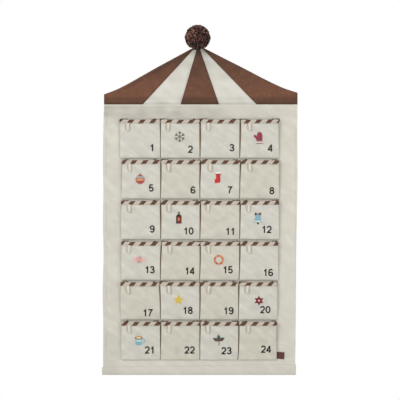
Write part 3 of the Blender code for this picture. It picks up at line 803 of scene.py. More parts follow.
class CALENDAR_OT_panel(bpy.types.Operator):
    """Make the canvas panel with its lining, hems and the sleeve round the lower rod"""
    bl_idname = "calendar.panel"
    bl_label = "Canvas panel"

    def execute(self, context):
        cloth = settings("cloth")
        path = panel_path()
        length = arc_lengths(path)
        across = panel_columns()

        def place(i, j):
            y, z = path[j, 1], path[j, 2]
            left, right = side_edge(z, -1), side_edge(z, 1)
            flat = across[i]
            drawn = ((left - LEFT) * step_in(flat, GRID_LEFT, LEFT)
                     + (right - RIGHT) * step_in(flat, GRID_RIGHT, RIGHT))
            x = np.where(z > SEAM, left + (right - left) * (flat - LEFT) / (RIGHT - LEFT),
                         flat + drawn)
            front = step_in(y, CLOTH_BACK, CLOTH_FRONT)
            return x, y - panel_relief(x, z) * front, z, x, length[j]

        panel = cloth_grid("canvas_panel", len(across), len(path), place)
        x, y, z = points_of(panel).T
        facing = y < CLOTH_FRONT + CLOTH
        # Painted shade: the shade mark over the panel, and the gusset mark in the gaps between the
        # pockets
        mark(panel, "shade", panel_shade(x, z) * facing)
        mark(panel, "gusset", panel_gaps(x, z) * facing)
        thicken(panel, CLOTH)
        for name in ("shade", "gusset"):
            keep_outside(panel, name, -points_of(panel)[:, 1])
        material = finish(canvas, "cream_cotton_canvas", cloth.cream, 0.11,
                          hollow=settings("pockets").hollow)
        dress(panel, material, "cloth", ["backing_panel"])
        return {'FINISHED'}


# How much darker each gore is drawn all over
GORE_DARKENING = (0.0, 0.0, 0.34, 0.0, 0.10)


def gore_rows():
    """Heights of a gore's rows, close together at the seam, the eaves and the tip."""
    return np.unique(np.concatenate([
        np.linspace(SEAM, SEAM + 0.004, 6), np.linspace(SEAM + 0.006, EAVES - 0.002, 6),
        np.linspace(EAVES - 0.001, EAVES + 0.006, 10), np.linspace(EAVES + 0.008, TIP, 32)]))


def gore_relief(x, z, left, right, index):
    """How far a gore stands forward of its cloth's flat place between its rolled seams."""
    cloth = settings("cloth")
    width = right - left
    roll = np.minimum(cloth.gore_roll, width / 3)
    edge = step_in((x - left) / roll, 0.0, 1.0) * step_in((right - x) / roll, 0.0, 1.0)
    foot = step_in(z - SEAM, -0.0012, 0.0046)
    near_tip = step_in(z, TIP, -0.075)
    lean = math.atan2(RIGHT / 2, APEX - SEAM) * (1 if index < 2 else -1)
    drape = 0.6 * ripple(x, z, 0.070, 20 + index, lean=lean) + 0.25 * ripple(x, z, 0.028, index)
    brown = 0.0004 if index % 2 == 0 else 0.0
    low_roll = 0.0009 * ridge(z - SEAM - 0.0062, 0.0050)
    body = cloth.gore_puff * (0.75 + 0.7 * drape) + brown + low_roll
    return (body * near_tip + 0.0001) * edge * foot - 0.0003 * (1 - edge * foot)


def gore_shade(x, z, index):
    """Painted shade on a gore at its foot and lower edge, towards its tip, as the ball's shadow
    beneath it, beside its borders and in a long soft fold; it is also darker in soft blotches and
    by a share of its own.
    """
    left, right = border(index, z), border(index + 1, z)
    brown = index % 2 == 0
    foot = (0.85 if brown else 0.22) * step_in(SEAM - z, -0.022, -0.013)
    edge = (0.85 if brown else 0.25) * ridge(z - SEAM, 0.0026)
    tip = (0.85 if brown else 0.30) * step_in(z, TIP - 0.110, TIP - 0.045)
    ball_shadow = 0.40 * step_in(z, TIP - 0.034, TIP - 0.014)
    beside = 0.45 * ridge(right - x, 0.0034) * brown
    beside = beside + 0.25 * ridge(x - left, 0.0022)
    fold = 0.70 * ridge(x - left - 0.014, 0.010) * (index == 0)
    fold = fold * step_in(z, SEAM + 0.024, SEAM + 0.040)
    blotch = 0.12 * ripple(x, z, 0.034, 60 + index) + GORE_DARKENING[index]
    return np.clip(foot + edge + tip + ball_shadow + beside + fold + blotch, 0.0, 1.6)


class CALENDAR_OT_gores(bpy.types.Operator):
    """Make the five canvas gores of the roof"""
    bl_idname = "calendar.gores"
    bl_label = "Roof gores"

    def execute(self, context):
        cloth = settings("cloth")
        rows = gore_rows()
        columns = 37
        lie = (ROOF_FRONT + ROOF_BACK) / 2
        for index in range(5):
            turn = math.atan2((border(index, SEAM) + border(index + 1, SEAM)) / 2, APEX - SEAM)

            def place(i, j):
                z = rows[j] - 0.0012 * (j == 0)
                left = border(index, z) + 0.0001
                right = border(index + 1, z) - 0.0001
                even = i / (columns - 1)
                across = 0.55 * (0.5 - 0.5 * np.cos(math.pi * even)) + 0.45 * even
                x = left + (right - left) * across
                y = lie - gore_relief(x, z, left, right, index)
                u = x * math.cos(turn) + z * math.sin(turn)
                v = z * math.cos(turn) - x * math.sin(turn)
                return x, y, z, u, v

            gore = cloth_grid(f"canvas_gore_{index + 1}", columns, len(rows), place)
            x, y, z = points_of(gore).T
            mark(gore, "shade", gore_shade(x, z, index))
            thicken(gore, CLOTH * 0.8)
            if index % 2 == 0:
                material = finish(canvas, "brown_cotton_canvas", cloth.brown, 0.16,
                                  lighter=cloth.brown_nap, mottle=0.55, sheen=0.07)
            else:
                material = finish(canvas, "pale_cotton_canvas", cloth.gore_cream, 0.05)
            dress(gore, material, "cloth", [f"roof_gore_{index + 1}"])
        return {'FINISHED'}


# Sleeve, loop and rods behind the cloth
class CALENDAR_OT_rear(bpy.types.Operator):
    """Make the upper rod's sleeve and the hanging loop behind the roof"""
    bl_idname = "calendar.rear"
    bl_label = "Rear sleeve and hanging loop"

    def execute(self, context):
        self.sleeve()
        self.loop()
        return {'FINISHED'}

    def sleeve(self):
        """A canvas strip sewn down above and below the rod that it holds."""
        low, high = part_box("upper_sleeve")
        rod_low, rod_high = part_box("upper_dowel")
        middle = (rod_low.z + rod_high.z) / 2
        radius = (rod_high.z - rod_low.z) / 2
        sewn = CLOTH_BACK + TOUCH + CLOTH / 2
        half = [(0, sewn, high.z - middle), (0, sewn, radius * 1.6), (0, -CLOTH / 2, radius * 0.7)]
        outline = [(0, y, middle + up) for _, y, up in half]
        outline += [(0, y, middle - up) for _, y, up in reversed(half)]
        path = eased(outline, 0.003, 4)
        length = arc_lengths(path)
        columns = 101

        def place(i, j):
            x = low.x + (high.x - low.x) * i / (columns - 1)
            y, z = path[j, 1], path[j, 2]
            flange = step_in(np.abs(z - middle), radius * 1.2, radius * 1.7)
            pucker = 0.00025 * ripple(x, z, 0.012, 31) * flange
            return x, y + np.maximum(0.0, pucker), z, x, length[j]

        strip = cloth_grid("rod_sleeve", columns, len(path), place)
        material = finish(canvas, "cream_cotton_canvas")
        dress(thicken(strip, CLOTH * 0.9), material, "cloth", ["upper_sleeve"])

    def loop(self):
        """Cotton tape: over the hook on its broad side, then turned flat and sewn down."""
        low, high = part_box("hanging_loop")
        thick, breadth, inside = 0.0012, 0.0080, 0.0060
        radius = inside + thick / 2
        eye_y = high.y - breadth / 2
        sewn_y = CLOTH_BACK + TOUCH + thick / 2
        spread = high.x - breadth / 2
        bend = np.linspace(0, math.pi / 2, 13)
        turn = np.linspace(0, 1, 19)
        ease = step_in(turn, 0.0, 1.0)
        x = np.concatenate([radius * np.sin(bend), radius + (spread - radius) * ease, [spread]])
        y = np.concatenate([0 * bend + eye_y, eye_y + (sewn_y - eye_y) * ease, [sewn_y]])
        z = np.concatenate([high.z - thick / 2 - radius + radius * np.cos(bend),
                            high.z - 0.009 - 0.018 * turn, [low.z]])
        twist = np.concatenate([0 * bend, ease * math.pi / 2, [math.pi / 2]])
        order = np.concatenate([np.arange(len(x))[:0:-1], np.arange(len(x))])
        side = np.where(np.arange(len(order)) < len(x) - 1, -1.0, 1.0)
        length = arc_lengths(np.stack([x, y, z], axis=1)[order])
        columns = 9

        def place(i, j):
            here, flip = order[j], side[j]
            across = breadth * (i / (columns - 1) - 0.5)
            px = flip * (x[here] + across * np.sin(twist[here]))
            return (px, y[here] + across * np.cos(twist[here]), z[here], across, length[j])

        tape = cloth_grid("hanging_tape", columns, len(order), place)
        material = finish(twill_tape, "cotton_twill_tape", settings("tape").loop)
        dress(thicken(tape, thick * 0.9, 50.0), material, "cloth",
              ["hanging_loop"])


class CALENDAR_OT_rods(bpy.types.Operator):
    """Turn the two rods from raw beech, with eased ends"""
    bl_idname = "calendar.rods"
    bl_label = "Rods"

    def execute(self, context):
        self.turn("upper_dowel", 0.0)
        self.turn("lower_dowel", settings("cloth").rod_inset)
        return {'FINISHED'}

    def turn(self, name, inset):
        """One rod. inset is how much shorter it is at its right end."""
        low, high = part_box(name)
        length = high.x - low.x - inset
        bpy.ops.object.select_all(action='DESELECT')
        bpy.ops.mesh.primitive_cylinder_add(
            vertices=32, radius=(high.z - low.z) / 2, depth=length,
            location=(low.x + length / 2, (low.y + high.y) / 2, (low.z + high.z) / 2),
            rotation=(0.0, math.pi / 2, 0.0))
        bpy.ops.object.transform_apply(location=True, rotation=True, scale=True)
        rod = name_piece(bpy.context.object, name.replace("dowel", "rod"))
        apply(rod, 'BEVEL', width=0.0008, segments=3, limit_method='ANGLE',
              angle_limit=math.radians(60))
        smooth(rod)
        dress(rod, finish(beech, "raw_beech"), name, [name])


# Pockets: one shape, shared by the cloth, its binding and all that lies on its front
GUSSET_DEPTH_SHARES = (0.73, 0.66, 0.39, 0.33)
GUSSET_RISE_SHARES = (0.0, 1.0, 1.0, 0.9, 0.9)
WARM_POCKETS = (6, 8, 11, 14, 15, 17, 19, 22, 24)
# Middle of the stripe next to each pocket's middle, and middle of its tape loop, in millimetres
STRIPE_PLACES = (3.2, -0.3, 2.3, -3.4, 10.3, -0.5, 13.4, 13.7, 5.2, -14.0, -4.4, -10.9,
                 5.2, -2.8, -4.4, -11.6, 7.5, 2.3, 9.0, 0.2, -13.0, -4.4, -7.8, -11.9)
LOOP_PLACES = (-33.5, -30.7, -29.5, -25.5, -28.6, -29.9, -25.0, -25.0, -30.0, -29.0, -30.0, -28.0,
               -29.7, -27.0, -30.0, -27.2, -33.0, -29.5, -28.2, -31.0, -30.2, -28.4, -31.2, -28.2)
# How far each row's mouths hang low, and how far its feet are drawn up, in millimetres
MOUTH_DROPS = (0.9, 0.9, 0.9, 1.4, 0.7, -2.4)
FOOT_LIFTS = (-1.0, -1.0, -1.0, -1.0, 1.6, 3.2)
# How much each row is cut in at its outer left and right side, and drawn in at those corners
# of its mouth, in millimetres
OUTER_TRIMS = ((-3.8, -1.0), (-0.2, -1.8), (-0.4, -1.1), (0.5, 1.0), (-1.5, 4.1), (0.2, 6.2))
OUTER_DRAWS = ((0.0, 2.4), (3.4, 1.5), (2.0, 1.0), (1.0, 1.9), (0.7, 0.0), (2.0, -2.0))
# How far the three gaps between a row's pockets stray to the right, at its feet and its
# mouths, in millimetres
FOOT_STRAYS = ((0.0, 0.0, -0.2), (0.0, 0.0, -0.4), (0.0, -0.6, -0.3), (0.0, -1.2, -1.6),
               (0.0, -1.4, -3.4), (0.0, -0.8, -4.6))
MOUTH_STRAYS = ((0.0, 0.2, 1.6), (1.4, 1.2, 2.4), (0.0, 0.6, 1.2), (2.2, 0.3, 0.5),
                (-2.2, -0.4, -2.2), (0.8, 0.8, -2.2))
FRONT_COLUMNS = 33
CORNER_STEPS = 3
POCKET_LEVELS = np.concatenate([[0.0, 0.006, 0.016, 0.032], np.linspace(0.07, 1.0, 24)])


class Pocket:
    """The shape of one pocket, in its own place: x from its middle, z from its foot."""

    def __init__(self, number):
        pockets, tape = settings("pockets"), settings("tape")
        chance = random.Random(100 + number)
        self.number = number
        self.name = f"{number:02d}"
        self.body = "pocket_" + self.name
        self.seam = SEAMS[number]
        row = (number - 1) // 4
        self.height = BINDING_TOP - pockets.gusset_rise - MOUTH_DROPS[row] * MILLIMETRE
        self.foot = pockets.cloth / 2 + FOOT_LIFTS[row] * MILLIMETRE
        column = (number - 1) % 4
        outer = np.array([column == 0, column == 3]) * MILLIMETRE
        self.trim = OUTER_TRIMS[row] * outer
        self.strays = [np.array([0.0, *table[row], 0.0])[column:column + 2] * MILLIMETRE
                       for table in (FOOT_STRAYS, MOUTH_STRAYS)]
        self.half = POCKET_WIDTH / 2 - pockets.cloth / 2 + 0.0006
        self.cloth_top = self.height - tape.wall - 0.0014
        self.bow = [pockets.edge_bow * chance.uniform(-0.5, 1.1) for _ in range(2)]
        self.draw = [pockets.mouth_draw * chance.uniform(0.2, 1.3) for _ in range(2)]
        self.draw = self.draw + OUTER_DRAWS[row] * outer
        self.sag = chance.uniform(-0.4, 1.0) * pockets.mouth_wave
        self.tilt = chance.uniform(-0.8, 0.8) * pockets.mouth_wave
        self.plump = pockets.puff * chance.uniform(0.75, 1.15)
        self.spread = [pockets.foot_spread * chance.uniform(-0.6, 2.2) for _ in range(2)]
        self.loop_x = LOOP_PLACES[number - 1] * MILLIMETRE
        self.stripe_x = STRIPE_PLACES[number - 1] * MILLIMETRE

    def depth(self, level):
        """How far the flat front stands off the panel, at a level from 0 at its foot to 1."""
        pockets = settings("pockets")
        return pockets.foot_depth + (pockets.mouth_depth - pockets.foot_depth) * level

    def over_loop(self, x):
        """1 where the tape loop lies under the binding."""
        return np.exp(-((x - self.loop_x) / 0.0052) ** 4)

    def around(self):
        """Distance along the cloth to each plan point of the mouth, from its middle."""
        length = arc_lengths(self.section(1.0)[:, :2])
        return length - length[-1] / 2

    def corners(self, level):
        """Plan corners of the right half, front to rear: x, depth, share of the rise."""
        depth = self.depth(level)
        foot = 0.0008 * (1 - math.sqrt(1 - (1 - min(1.0, level / 0.032)) ** 2))
        fold = settings("pockets").fold * level
        depths = [depth - foot] + [depth * share for share in GUSSET_DEPTH_SHARES] + [0.0004]
        insets = [foot * 0.6, 0.0, fold, fold, 0.0, 0.0]
        rises = [0.0, *GUSSET_RISE_SHARES]
        return [(self.half - inset, out, rise)
                for inset, out, rise in zip(insets, depths, rises)]

    def section(self, level):
        """Plan outline of the cloth from its left rear edge round to its right rear edge."""
        reach = settings("pockets").corner
        right = self.corners(level)
        middle = (0.0, right[0][1], 0.0)
        half = eased([middle, *right], reach, CORNER_STEPS)[1:]
        left = half[::-1] * np.array([-1.0, 1.0, 1.0])
        front = np.linspace(left[-1], half[0], FRONT_COLUMNS)
        return np.concatenate([left, front[1:-1], half])

    def swell(self, x, level):
        """How far the front stands out of its flat place."""
        pockets = settings("pockets")
        side = np.clip(np.abs(x) / self.half, 0.0, 1.0)
        level = np.clip(level, 0.0, 1.05)
        crown = self.plump * (1 - side ** 2.6) * np.sqrt(level) * (1.3 - 0.55 * level)
        z = level * self.cloth_top
        free = (1 - side ** 6) * step_in(level, 0.0, 0.16) * (1 - 0.55 * step_in(level, 0.85, 1))
        folds = ripple(x, z, pockets.crease_length, 200 + self.number)
        fine = 0.20 * ripple(x, z, 0.4 * pockets.crease_length, 300 + self.number)
        return crown + pockets.crease * (folds + fine) * free

    def moved(self, x, depth, level):
        """A plan point with the cloth's bow, trim, drawn-in corners and swell."""
        full = self.depth(level)
        front = step_in(depth / full, 0.3, 0.9)
        share = np.clip(np.abs(x) / self.half, 0.0, 1.0)
        bow, draw, trim, spread, low, high = (
            np.where(x < 0, *pair)
            for pair in (self.bow, self.draw, self.trim, self.spread, *self.strays))
        bow = bow * np.sin(math.pi * np.clip(level, 0, 1))
        spread = spread * (1 - level) * step_in(level, 0, 0.1)
        drawn = front * (spread - draw * level ** 5 - bow) - trim
        across = x + np.sign(x) * share ** 3 * drawn
        across = across + share ** 3 * (low + (high - low) * level)
        on_front = step_in(depth / full, 0.80, 0.97)
        return across, depth + self.swell(x, level) * on_front

    def wander(self, x, level):
        """How far the mouth's line lies above its straight place."""
        share = x / self.half
        lift = self.sag * (share ** 2 - 0.6) + self.tilt * share
        lift = lift + 0.3 * settings("pockets").mouth_wave * ripple(x, 0 * x, 0.05,
                                                                    400 + self.number)
        return lift * level ** 4

    def front_y(self, x, z):
        """Where the face of the front lies, out of the seam, at a place on it."""
        level = (z - self.foot) / (self.cloth_top - self.foot)
        return -(self.depth(level) + self.swell(x, level) + settings("pockets").cloth / 2)

    def lay(self, points, lift=0.0):
        """Lay flat points x, z on the front, lifted off it, in the calendar's place."""
        x, z = points[:, 0], points[:, 1]
        y = self.front_y(x, z) - lift
        return np.stack([x, y, z], axis=1) + np.array(self.seam)

    def hold(self, piece):
        """Bake a piece's place into its mesh. It gets no body, so it does not move with the
        pocket.
        """
        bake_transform(piece)


def every_pocket():
    return [Pocket(number) for number in sorted(SEAMS)]


class CALENDAR_OT_pockets(bpy.types.Operator):
    """Make the twenty-four canvas pockets with their folded gussets"""
    bl_idname = "calendar.pockets"
    bl_label = "Pockets"

    def execute(self, context):
        for pocket in every_pocket():
            self.make(pocket)
        return {'FINISHED'}

    def make(self, pocket):
        pockets = settings("pockets")
        levels = POCKET_LEVELS
        sections = np.stack([pocket.section(level) for level in levels])
        around = pocket.around()
        columns = sections.shape[1]

        def place(i, j):
            level = levels[j]
            x, depth, rise = sections[j, i].T
            across, out = pocket.moved(x, depth, level)
            z = pocket.foot + (pocket.cloth_top - pocket.foot) * level
            z = z + pockets.gusset_rise * rise * level + pocket.wander(x, level)
            return (pocket.seam.x + across, pocket.seam.y - out, pocket.seam.z + z,
                    around[i], z)

        cloth = cloth_grid("canvas_pocket_" + pocket.name, columns, len(levels), place)
        self.close_foot(cloth)
        self.mark_gussets(cloth, pocket)
        thicken(cloth, pockets.cloth)
        keep_outside(cloth, "gusset", np.abs(points_of(cloth)[:, 0] - pocket.seam.x))
        warm = pocket.number in WARM_POCKETS
        name, colour = (("warm_pocket_canvas", pockets.warm) if warm else
                        ("pocket_cotton_canvas", pockets.cool))
        material = finish(canvas, name, colour, 0.17, hollow=pockets.hollow)
        dress(cloth, material, None, ["pocket_" + pocket.name])
        pocket.hold(cloth)

    def mark_gussets(self, cloth, pocket):
        """Mark painted shade on the cloth that turns round the corner into the side gap, more
        towards the mouth.
        """
        x, y, z = (points_of(cloth) - np.array(pocket.seam)).T
        behind = step_in(y - pocket.front_y(x, z), 0.0010, 0.0030)
        deep = 1 - 0.7 * step_in(y - pocket.front_y(x, z), 0.0045, 0.0075)
        # A thin painted shadow along the pocket's foot
        foot = 0.35 * (z < pocket.foot + 0.0004) * (1 - behind)
        mark(cloth, "gusset", behind * deep * (0.3 + 0.7 * step_in(z, 0.0, 0.070)) + foot)

    def close_foot(self, cloth):
        """Fill the foot between the front, the gussets and the panel."""
        only(cloth)
        low = min(vertex.co.z for vertex in cloth.data.vertices)
        bpy.ops.object.mode_set(mode='EDIT')
        bpy.ops.mesh.select_all(action='DESELECT')
        bpy.ops.object.mode_set(mode='OBJECT')
        for vertex in cloth.data.vertices:
            vertex.select = vertex.co.z < low + 0.00001
        bpy.ops.object.mode_set(mode='EDIT')
        bpy.ops.mesh.select_mode(type='VERT')
        bpy.ops.mesh.edge_face_add()
        bpy.ops.object.mode_set(mode='OBJECT')
        edit(cloth, normals_make_consistent={})


class CALENDAR_OT_bindings(bpy.types.Operator):
    """Make the striped bindings, their stitches and the tape loops caught in them"""
    bl_idname = "calendar.bindings"
    bl_label = "Bindings and tape loops"

    def execute(self, context):
        for pocket in every_pocket():
            self.binding(pocket)
            self.loop(pocket)
            self.stitches(pocket)
        return {'FINISHED'}

    def profile(self, pocket):
        """Across the folded tape, outer hem to inner hem: distance out and height."""
        tape, pockets = settings("tape"), settings("pockets")
        reach = pockets.cloth / 2 + TOUCH + tape.wall / 2
        low = pocket.height - tape.height
        top = pocket.height - tape.wall / 2
        side = [(reach, low), (reach + 0.00012, low + 0.0012), (reach + 0.0003, low + 0.0042),
                (reach + 0.00025, low + 0.0075), (reach, top - 0.0011),
                (reach * 0.7, top - 0.0003)]
        inner = [(-out, height) for out, height in reversed(side)]
        return np.array(side + [(0.0, top)] + inner)

    def binding(self, pocket):
        tape, pockets = settings("tape"), settings("pockets")
        profile = self.profile(pocket)
        down = arc_lengths(profile)
        levels = profile[:, 1] / pocket.cloth_top
        sections = np.stack([pocket.section(min(level, 1.0)) for level in levels])
        around = pocket.around()
        columns = sections.shape[1]
        tangents = np.gradient(sections[:, :, :2], axis=1)
        tangents /= np.linalg.norm(tangents, axis=2, keepdims=True)
        depth_rate = tangents[:, :, 0]
        across_rate = -tangents[:, :, 1]

        def place(i, j):
            level = np.minimum(levels[j], 1.0)
            x, depth, rise = sections[j, i].T
            moved_x, out = pocket.moved(x, depth, level)
            over_loop = pocket.over_loop(x) * (profile[j, 0] > 0)
            low = step_in(levels[j], 1.0, 0.93)
            reach = profile[j, 0] + 0.0007 * over_loop * low * (rise < 0.01)
            pucker = 0.00010 * np.sin(2 * math.pi * around[i] / 0.0031) * (profile[j, 0] > 0)
            reach = reach + pucker * low
            moved_x = moved_x + across_rate[j, i] * reach
            out = out + depth_rate[j, i] * reach
            z = profile[j, 1] + pockets.gusset_rise * rise * level + pocket.wander(x, level)
            return (pocket.seam.x + moved_x, pocket.seam.y - out, pocket.seam.z + z,
                    around[i] - pocket.stripe_x, down[j] - tape.height / 2)

        band = cloth_grid("striped_binding_" + pocket.name, columns, len(profile), place)
        # The gusset mark lays painted shade on the tape where it turns back into the gaps between
        # pockets
        x, y, z = (points_of(band) - np.array(pocket.seam)).T
        behind = y - pocket.front_y(x, z)
        mark(band, "gusset", step_in(behind, 0.0022, 0.0036) * step_in(behind, 0.0066, 0.0050))
        thicken(band, tape.wall, 60.0)
        dress(band, finish(striped_tape, "striped_bias_tape"), None,
              ["binding_" + pocket.name])
        pocket.hold(band)

    def loop(self, pocket):
        """A folded length of tape that hangs from the binding's hem, its fold standing off."""
        tape = settings("tape")
        chance = random.Random(500 + pocket.number)
        hem = pocket.height - tape.height
        drop = tape.loop_length
        stand = chance.uniform(0.7, 1.3)
        line = eased([(0, 0.0007, hem + 0.0012), (0, 0.0007, hem - drop * 0.62),
                      (0, 0.0004 + 0.0008 * stand, hem - drop), (0, 0.0036 * stand, hem - drop),
                      (0, 0.0030 * stand, hem - drop * 0.55), (0, 0.0016, hem + 0.0012)],
                     0.0032, 4)
        length = arc_lengths(line)
        lean = chance.uniform(-0.08, 0.10)
        skew = chance.uniform(0.0020, 0.0040)
        columns = 7
        rear = np.clip(1.0 - 2.0 * length / length[-1], 0.0, 1.0)

        def place(i, j):
            share = i / (columns - 1) - 0.5
            down = hem - line[j, 2]
            taper = 1 - 0.16 * step_in(down, 0.001, drop)
            aside = -skew * np.sin(math.pi * rear[j]) * step_in(down, 0.0, 0.006)
            x = pocket.loop_x + tape.loop_width * share * taper + lean * down + aside
            z = line[j, 2] + 0.0012 * np.abs(share * 2) ** 3 * (down > 0.017)
            cup = 0.0007 * (share * 2) ** 2 * step_in(down, 0.004, 0.016)
            y = pocket.front_y(x, z) - line[j, 1] + cup
            return (pocket.seam.x + x, pocket.seam.y + y, pocket.seam.z + z,
                    tape.loop_width * share, length[j])

        piece = thicken(cloth_grid("tape_loop_" + pocket.name, columns, len(line), place),
                        tape.loop_wall, 60.0)
        material = finish(twill_tape, "cotton_twill_tape", tape.loop)
        dress(piece, material, pocket.body)

    def stitches(self, pocket):
        """Lockstitch that holds the binding, just above its hem."""
        tape = settings("tape")
        z = pocket.height - tape.height + 0.0016
        reach = TOUCH + tape.wall + 0.0003
        left, right = pocket.half - 0.0022 - pocket.trim + pocket.strays[1] * np.array([-1, 1])
        flat = stitches((-left, z, 0), (right, z, 0), 0.0029)
        paths = []
        for path in flat:
            bump_out = 0.0007 * pocket.over_loop(path[:, 0])
            line = pocket.lay(path, reach)
            line[:, 1] -= bump_out + 0.00012 - 0.0003 * np.array([1, 0, 0, 1])
            line[:, 2] += pocket.wander(path[:, 0], z / pocket.cloth_top)
            paths.append(line)
        sew("binding_stitches_" + pocket.name, paths, 0.00022, pocket.body)


# Printed numbers
def arc(centre, radii, start, end, steps=14):
    """Points on an ellipse from one angle to another, in degrees."""
    turn = np.radians(np.linspace(start, end, steps))
    return [(centre[0] + radii[0] * math.cos(a), centre[1] + radii[1] * math.sin(a))
            for a in turn]


def straight(start, end, steps=8):
    return [tuple(point) for point in np.linspace(start, end, steps)]


# Middle lines of each digit's strokes, in shares of the digit's height
BOWL_LOW = arc((0.33, 0.29), (0.262, 0.228), 90, 450, 29)
DIGIT_STROKES = {
    "0": [arc((0.33, 0.5), (0.262, 0.435), 90, 450, 33)],
    "1": [straight((0.36, 1.0), (0.36, 0.0), 12),
          arc((0.07, 0.975), (0.295, 0.255), 0, -84, 9)],
    "2": [arc((0.325, 0.690), (0.252, 0.245), 172, 10, 13)
          + arc((0.25, 0.62), (0.325, 0.25), 5, -42, 6)
          + [(0.38, 0.36), (0.25, 0.245), (0.15, 0.15), (0.095, 0.062)]
          + straight((0.20, 0.062), (0.60, 0.062), 6)],
    "3": [arc((0.315, 0.735), (0.225, 0.20), 168, -60, 15)
          + arc((0.315, 0.288), (0.262, 0.225), 62, -166, 17),
          straight((0.25, 0.525), (0.44, 0.525), 4)],
    "4": [[(0.455, 0.925), (0.36, 0.78), (0.26, 0.63), (0.16, 0.48), (0.06, 0.325),
           (0.055, 0.265), (0.20, 0.265), (0.40, 0.265), (0.62, 0.265)],
          straight((0.455, 1.0), (0.455, 0.0), 12)],
    "5": [straight((0.565, 0.935), (0.185, 0.935), 6) + [(0.15, 0.75), (0.10, 0.49)]
          + arc((0.33, 0.32), (0.258, 0.257), 142, -158, 19)],
    "6": [BOWL_LOW, arc((0.35, 0.50), (0.285, 0.435), 38, 205, 15)],
    "7": [straight((0.045, 0.925), (0.585, 0.925), 6)
          + [(0.48, 0.78), (0.38, 0.61), (0.30, 0.42), (0.25, 0.22), (0.225, 0.0)]],
    "8": [arc((0.33, 0.745), (0.215, 0.19), 90, 450, 25), BOWL_LOW],
}
DIGIT_STROKES["9"] = [[(0.66 - x, 1.0 - z) for x, z in stroke] for stroke in DIGIT_STROKES["6"]]
# From a pocket's right edge to its number, and from its foot up to the number, in millimetres
NUMBER_PLACES = ((18, 17), (17, 13), (12, 17), (16, 16), (16, 18), (10, 13), (16, 13), (11, 11),
                 (13, 17), (15, 12), (13, 11), (18, 16), (13, 17), (13, 14), (16, 17), (14, 10),
                 (17, 11), (17, 17), (14, 16), (21, 19), (16, 20), (12, 20), (19, 18), (20, 22))


def ribbon(points, width):
    """The two edges of a stroke of one width along a middle line, and whether it is a ring."""
    line = np.array(points)
    ring = np.linalg.norm(line[0] - line[-1]) < 1e-6
    runs = np.diff(line, axis=0)
    runs /= np.linalg.norm(runs, axis=1, keepdims=True)
    before = np.vstack([runs[-1:] if ring else runs[:1], runs])
    after = np.vstack([runs, runs[:1] if ring else runs[-1:]])
    normals = np.stack([-(before + after)[:, 1], (before + after)[:, 0]], axis=1)
    normals /= np.linalg.norm(normals, axis=1, keepdims=True)
    square = np.stack([-after[:, 1], after[:, 0]], axis=1)
    mitre = np.clip((normals * square).sum(axis=1, keepdims=True), 0.55, 1.0)
    offset = normals / mitre * width / 2
    return line + offset, line - offset, ring


def stroke_piece(name, points, width, film):
    """One stroke of a digit as a thin solid, flat in x and z."""
    left, right, ring = ribbon(points, width)
    rows = len(left)

    def place(i, j):
        flat = np.where(i[:, None] == 0, left[j], right[j])
        return flat[:, 0], 0 * flat[:, 0], flat[:, 1], flat[:, 0], flat[:, 1]

    piece = cloth_grid(name, 2, rows, place)
    if ring:
        edit(piece, remove_doubles={"threshold": 0.00001}, normals_make_consistent={})
    apply(piece, 'SOLIDIFY', thickness=film, offset=0.0)
    edit(piece, normals_make_consistent={})
    return piece


class CALENDAR_OT_numbers(bpy.types.Operator):
    """Print the numbers 1 to 24 on the pockets"""
    bl_idname = "calendar.numbers"
    bl_label = "Printed numbers"

    def execute(self, context):
        digits = {sign: self.digit(sign) for sign in DIGIT_STROKES}
        for pocket in every_pocket():
            self.number(pocket, digits)
        for pattern in digits.values():
            bpy.data.objects.remove(pattern, do_unlink=True)
        return {'FINISHED'}

    def digit(self, sign):
        """One digit as a thin solid, a unit high: its strokes joined into one body."""
        width = settings("print").stroke
        film = settings("print").film / settings("print").height
        strokes = [stroke_piece(f"stroke_{sign}_{at}", points, width, film)
                   for at, points in enumerate(DIGIT_STROKES[sign])]
        whole = strokes[0]
        for other in strokes[1:]:
            apply(whole, 'BOOLEAN', operation='UNION', solver='EXACT', object=other)
            bpy.data.objects.remove(other, do_unlink=True)
        return whole

    def number(self, pocket, digits):
        printing = settings("print")
        from_right, foot = NUMBER_PLACES[pocket.number - 1]
        signs = str(pocket.number)
        last = points_of(digits[signs[-1]])[:, 0].max()
        right = POCKET_WIDTH / 2 - from_right * MILLIMETRE
        start = right - printing.height * (printing.advance * (len(signs) - 1) + last)
        copies = []
        for at, sign in enumerate(signs):
            copy = digits[sign].copy()
            copy.data = digits[sign].data.copy()
            bpy.context.scene.collection.objects.link(copy)
            copies.append(copy)
            corners = points_of(copy) * printing.height
            closer = 0.06 if sign == "1" and at == 0 else 0.0
            across = start + (closer + at * printing.advance) * printing.height
            flat = corners[:, [0, 2]] + np.array([across, foot * MILLIMETRE])
            laid_down = pocket.lay(flat, 0.00018 + printing.film / 2)
            laid_down[:, 1] += corners[:, 1]
            copy.data.vertices.foreach_set("co", laid_down.ravel())
            copy.data.update()
        number = join(copies, "printed_number_" + pocket.name)
        smooth(number, 30.0)
        dress(number, finish(screen_ink, "screen_printing_ink", printing.ink), pocket.body)


# Embroidered pictures, drawn in millimetres from each picture's middle
def circle(centre, radius):
    return arc(centre, (radius, radius), 0, 360, 25)


def band(points, width):
    """A stripe of one width along a line, as a closed outline."""
    left, right, _ = ribbon(np.array(points, float), width)
    return [tuple(p) for p in left] + [tuple(p) for p in right[::-1]]


def oblong(left, foot, right, top):
    return [(left, foot), (right, foot), (right, top), (left, top)]


def turned(outline, degrees):
    """An outline turned about the picture's middle."""
    a = math.radians(degrees)
    return [(x * math.cos(a) - z * math.sin(a), x * math.sin(a) + z * math.cos(a))
            for x, z in outline]


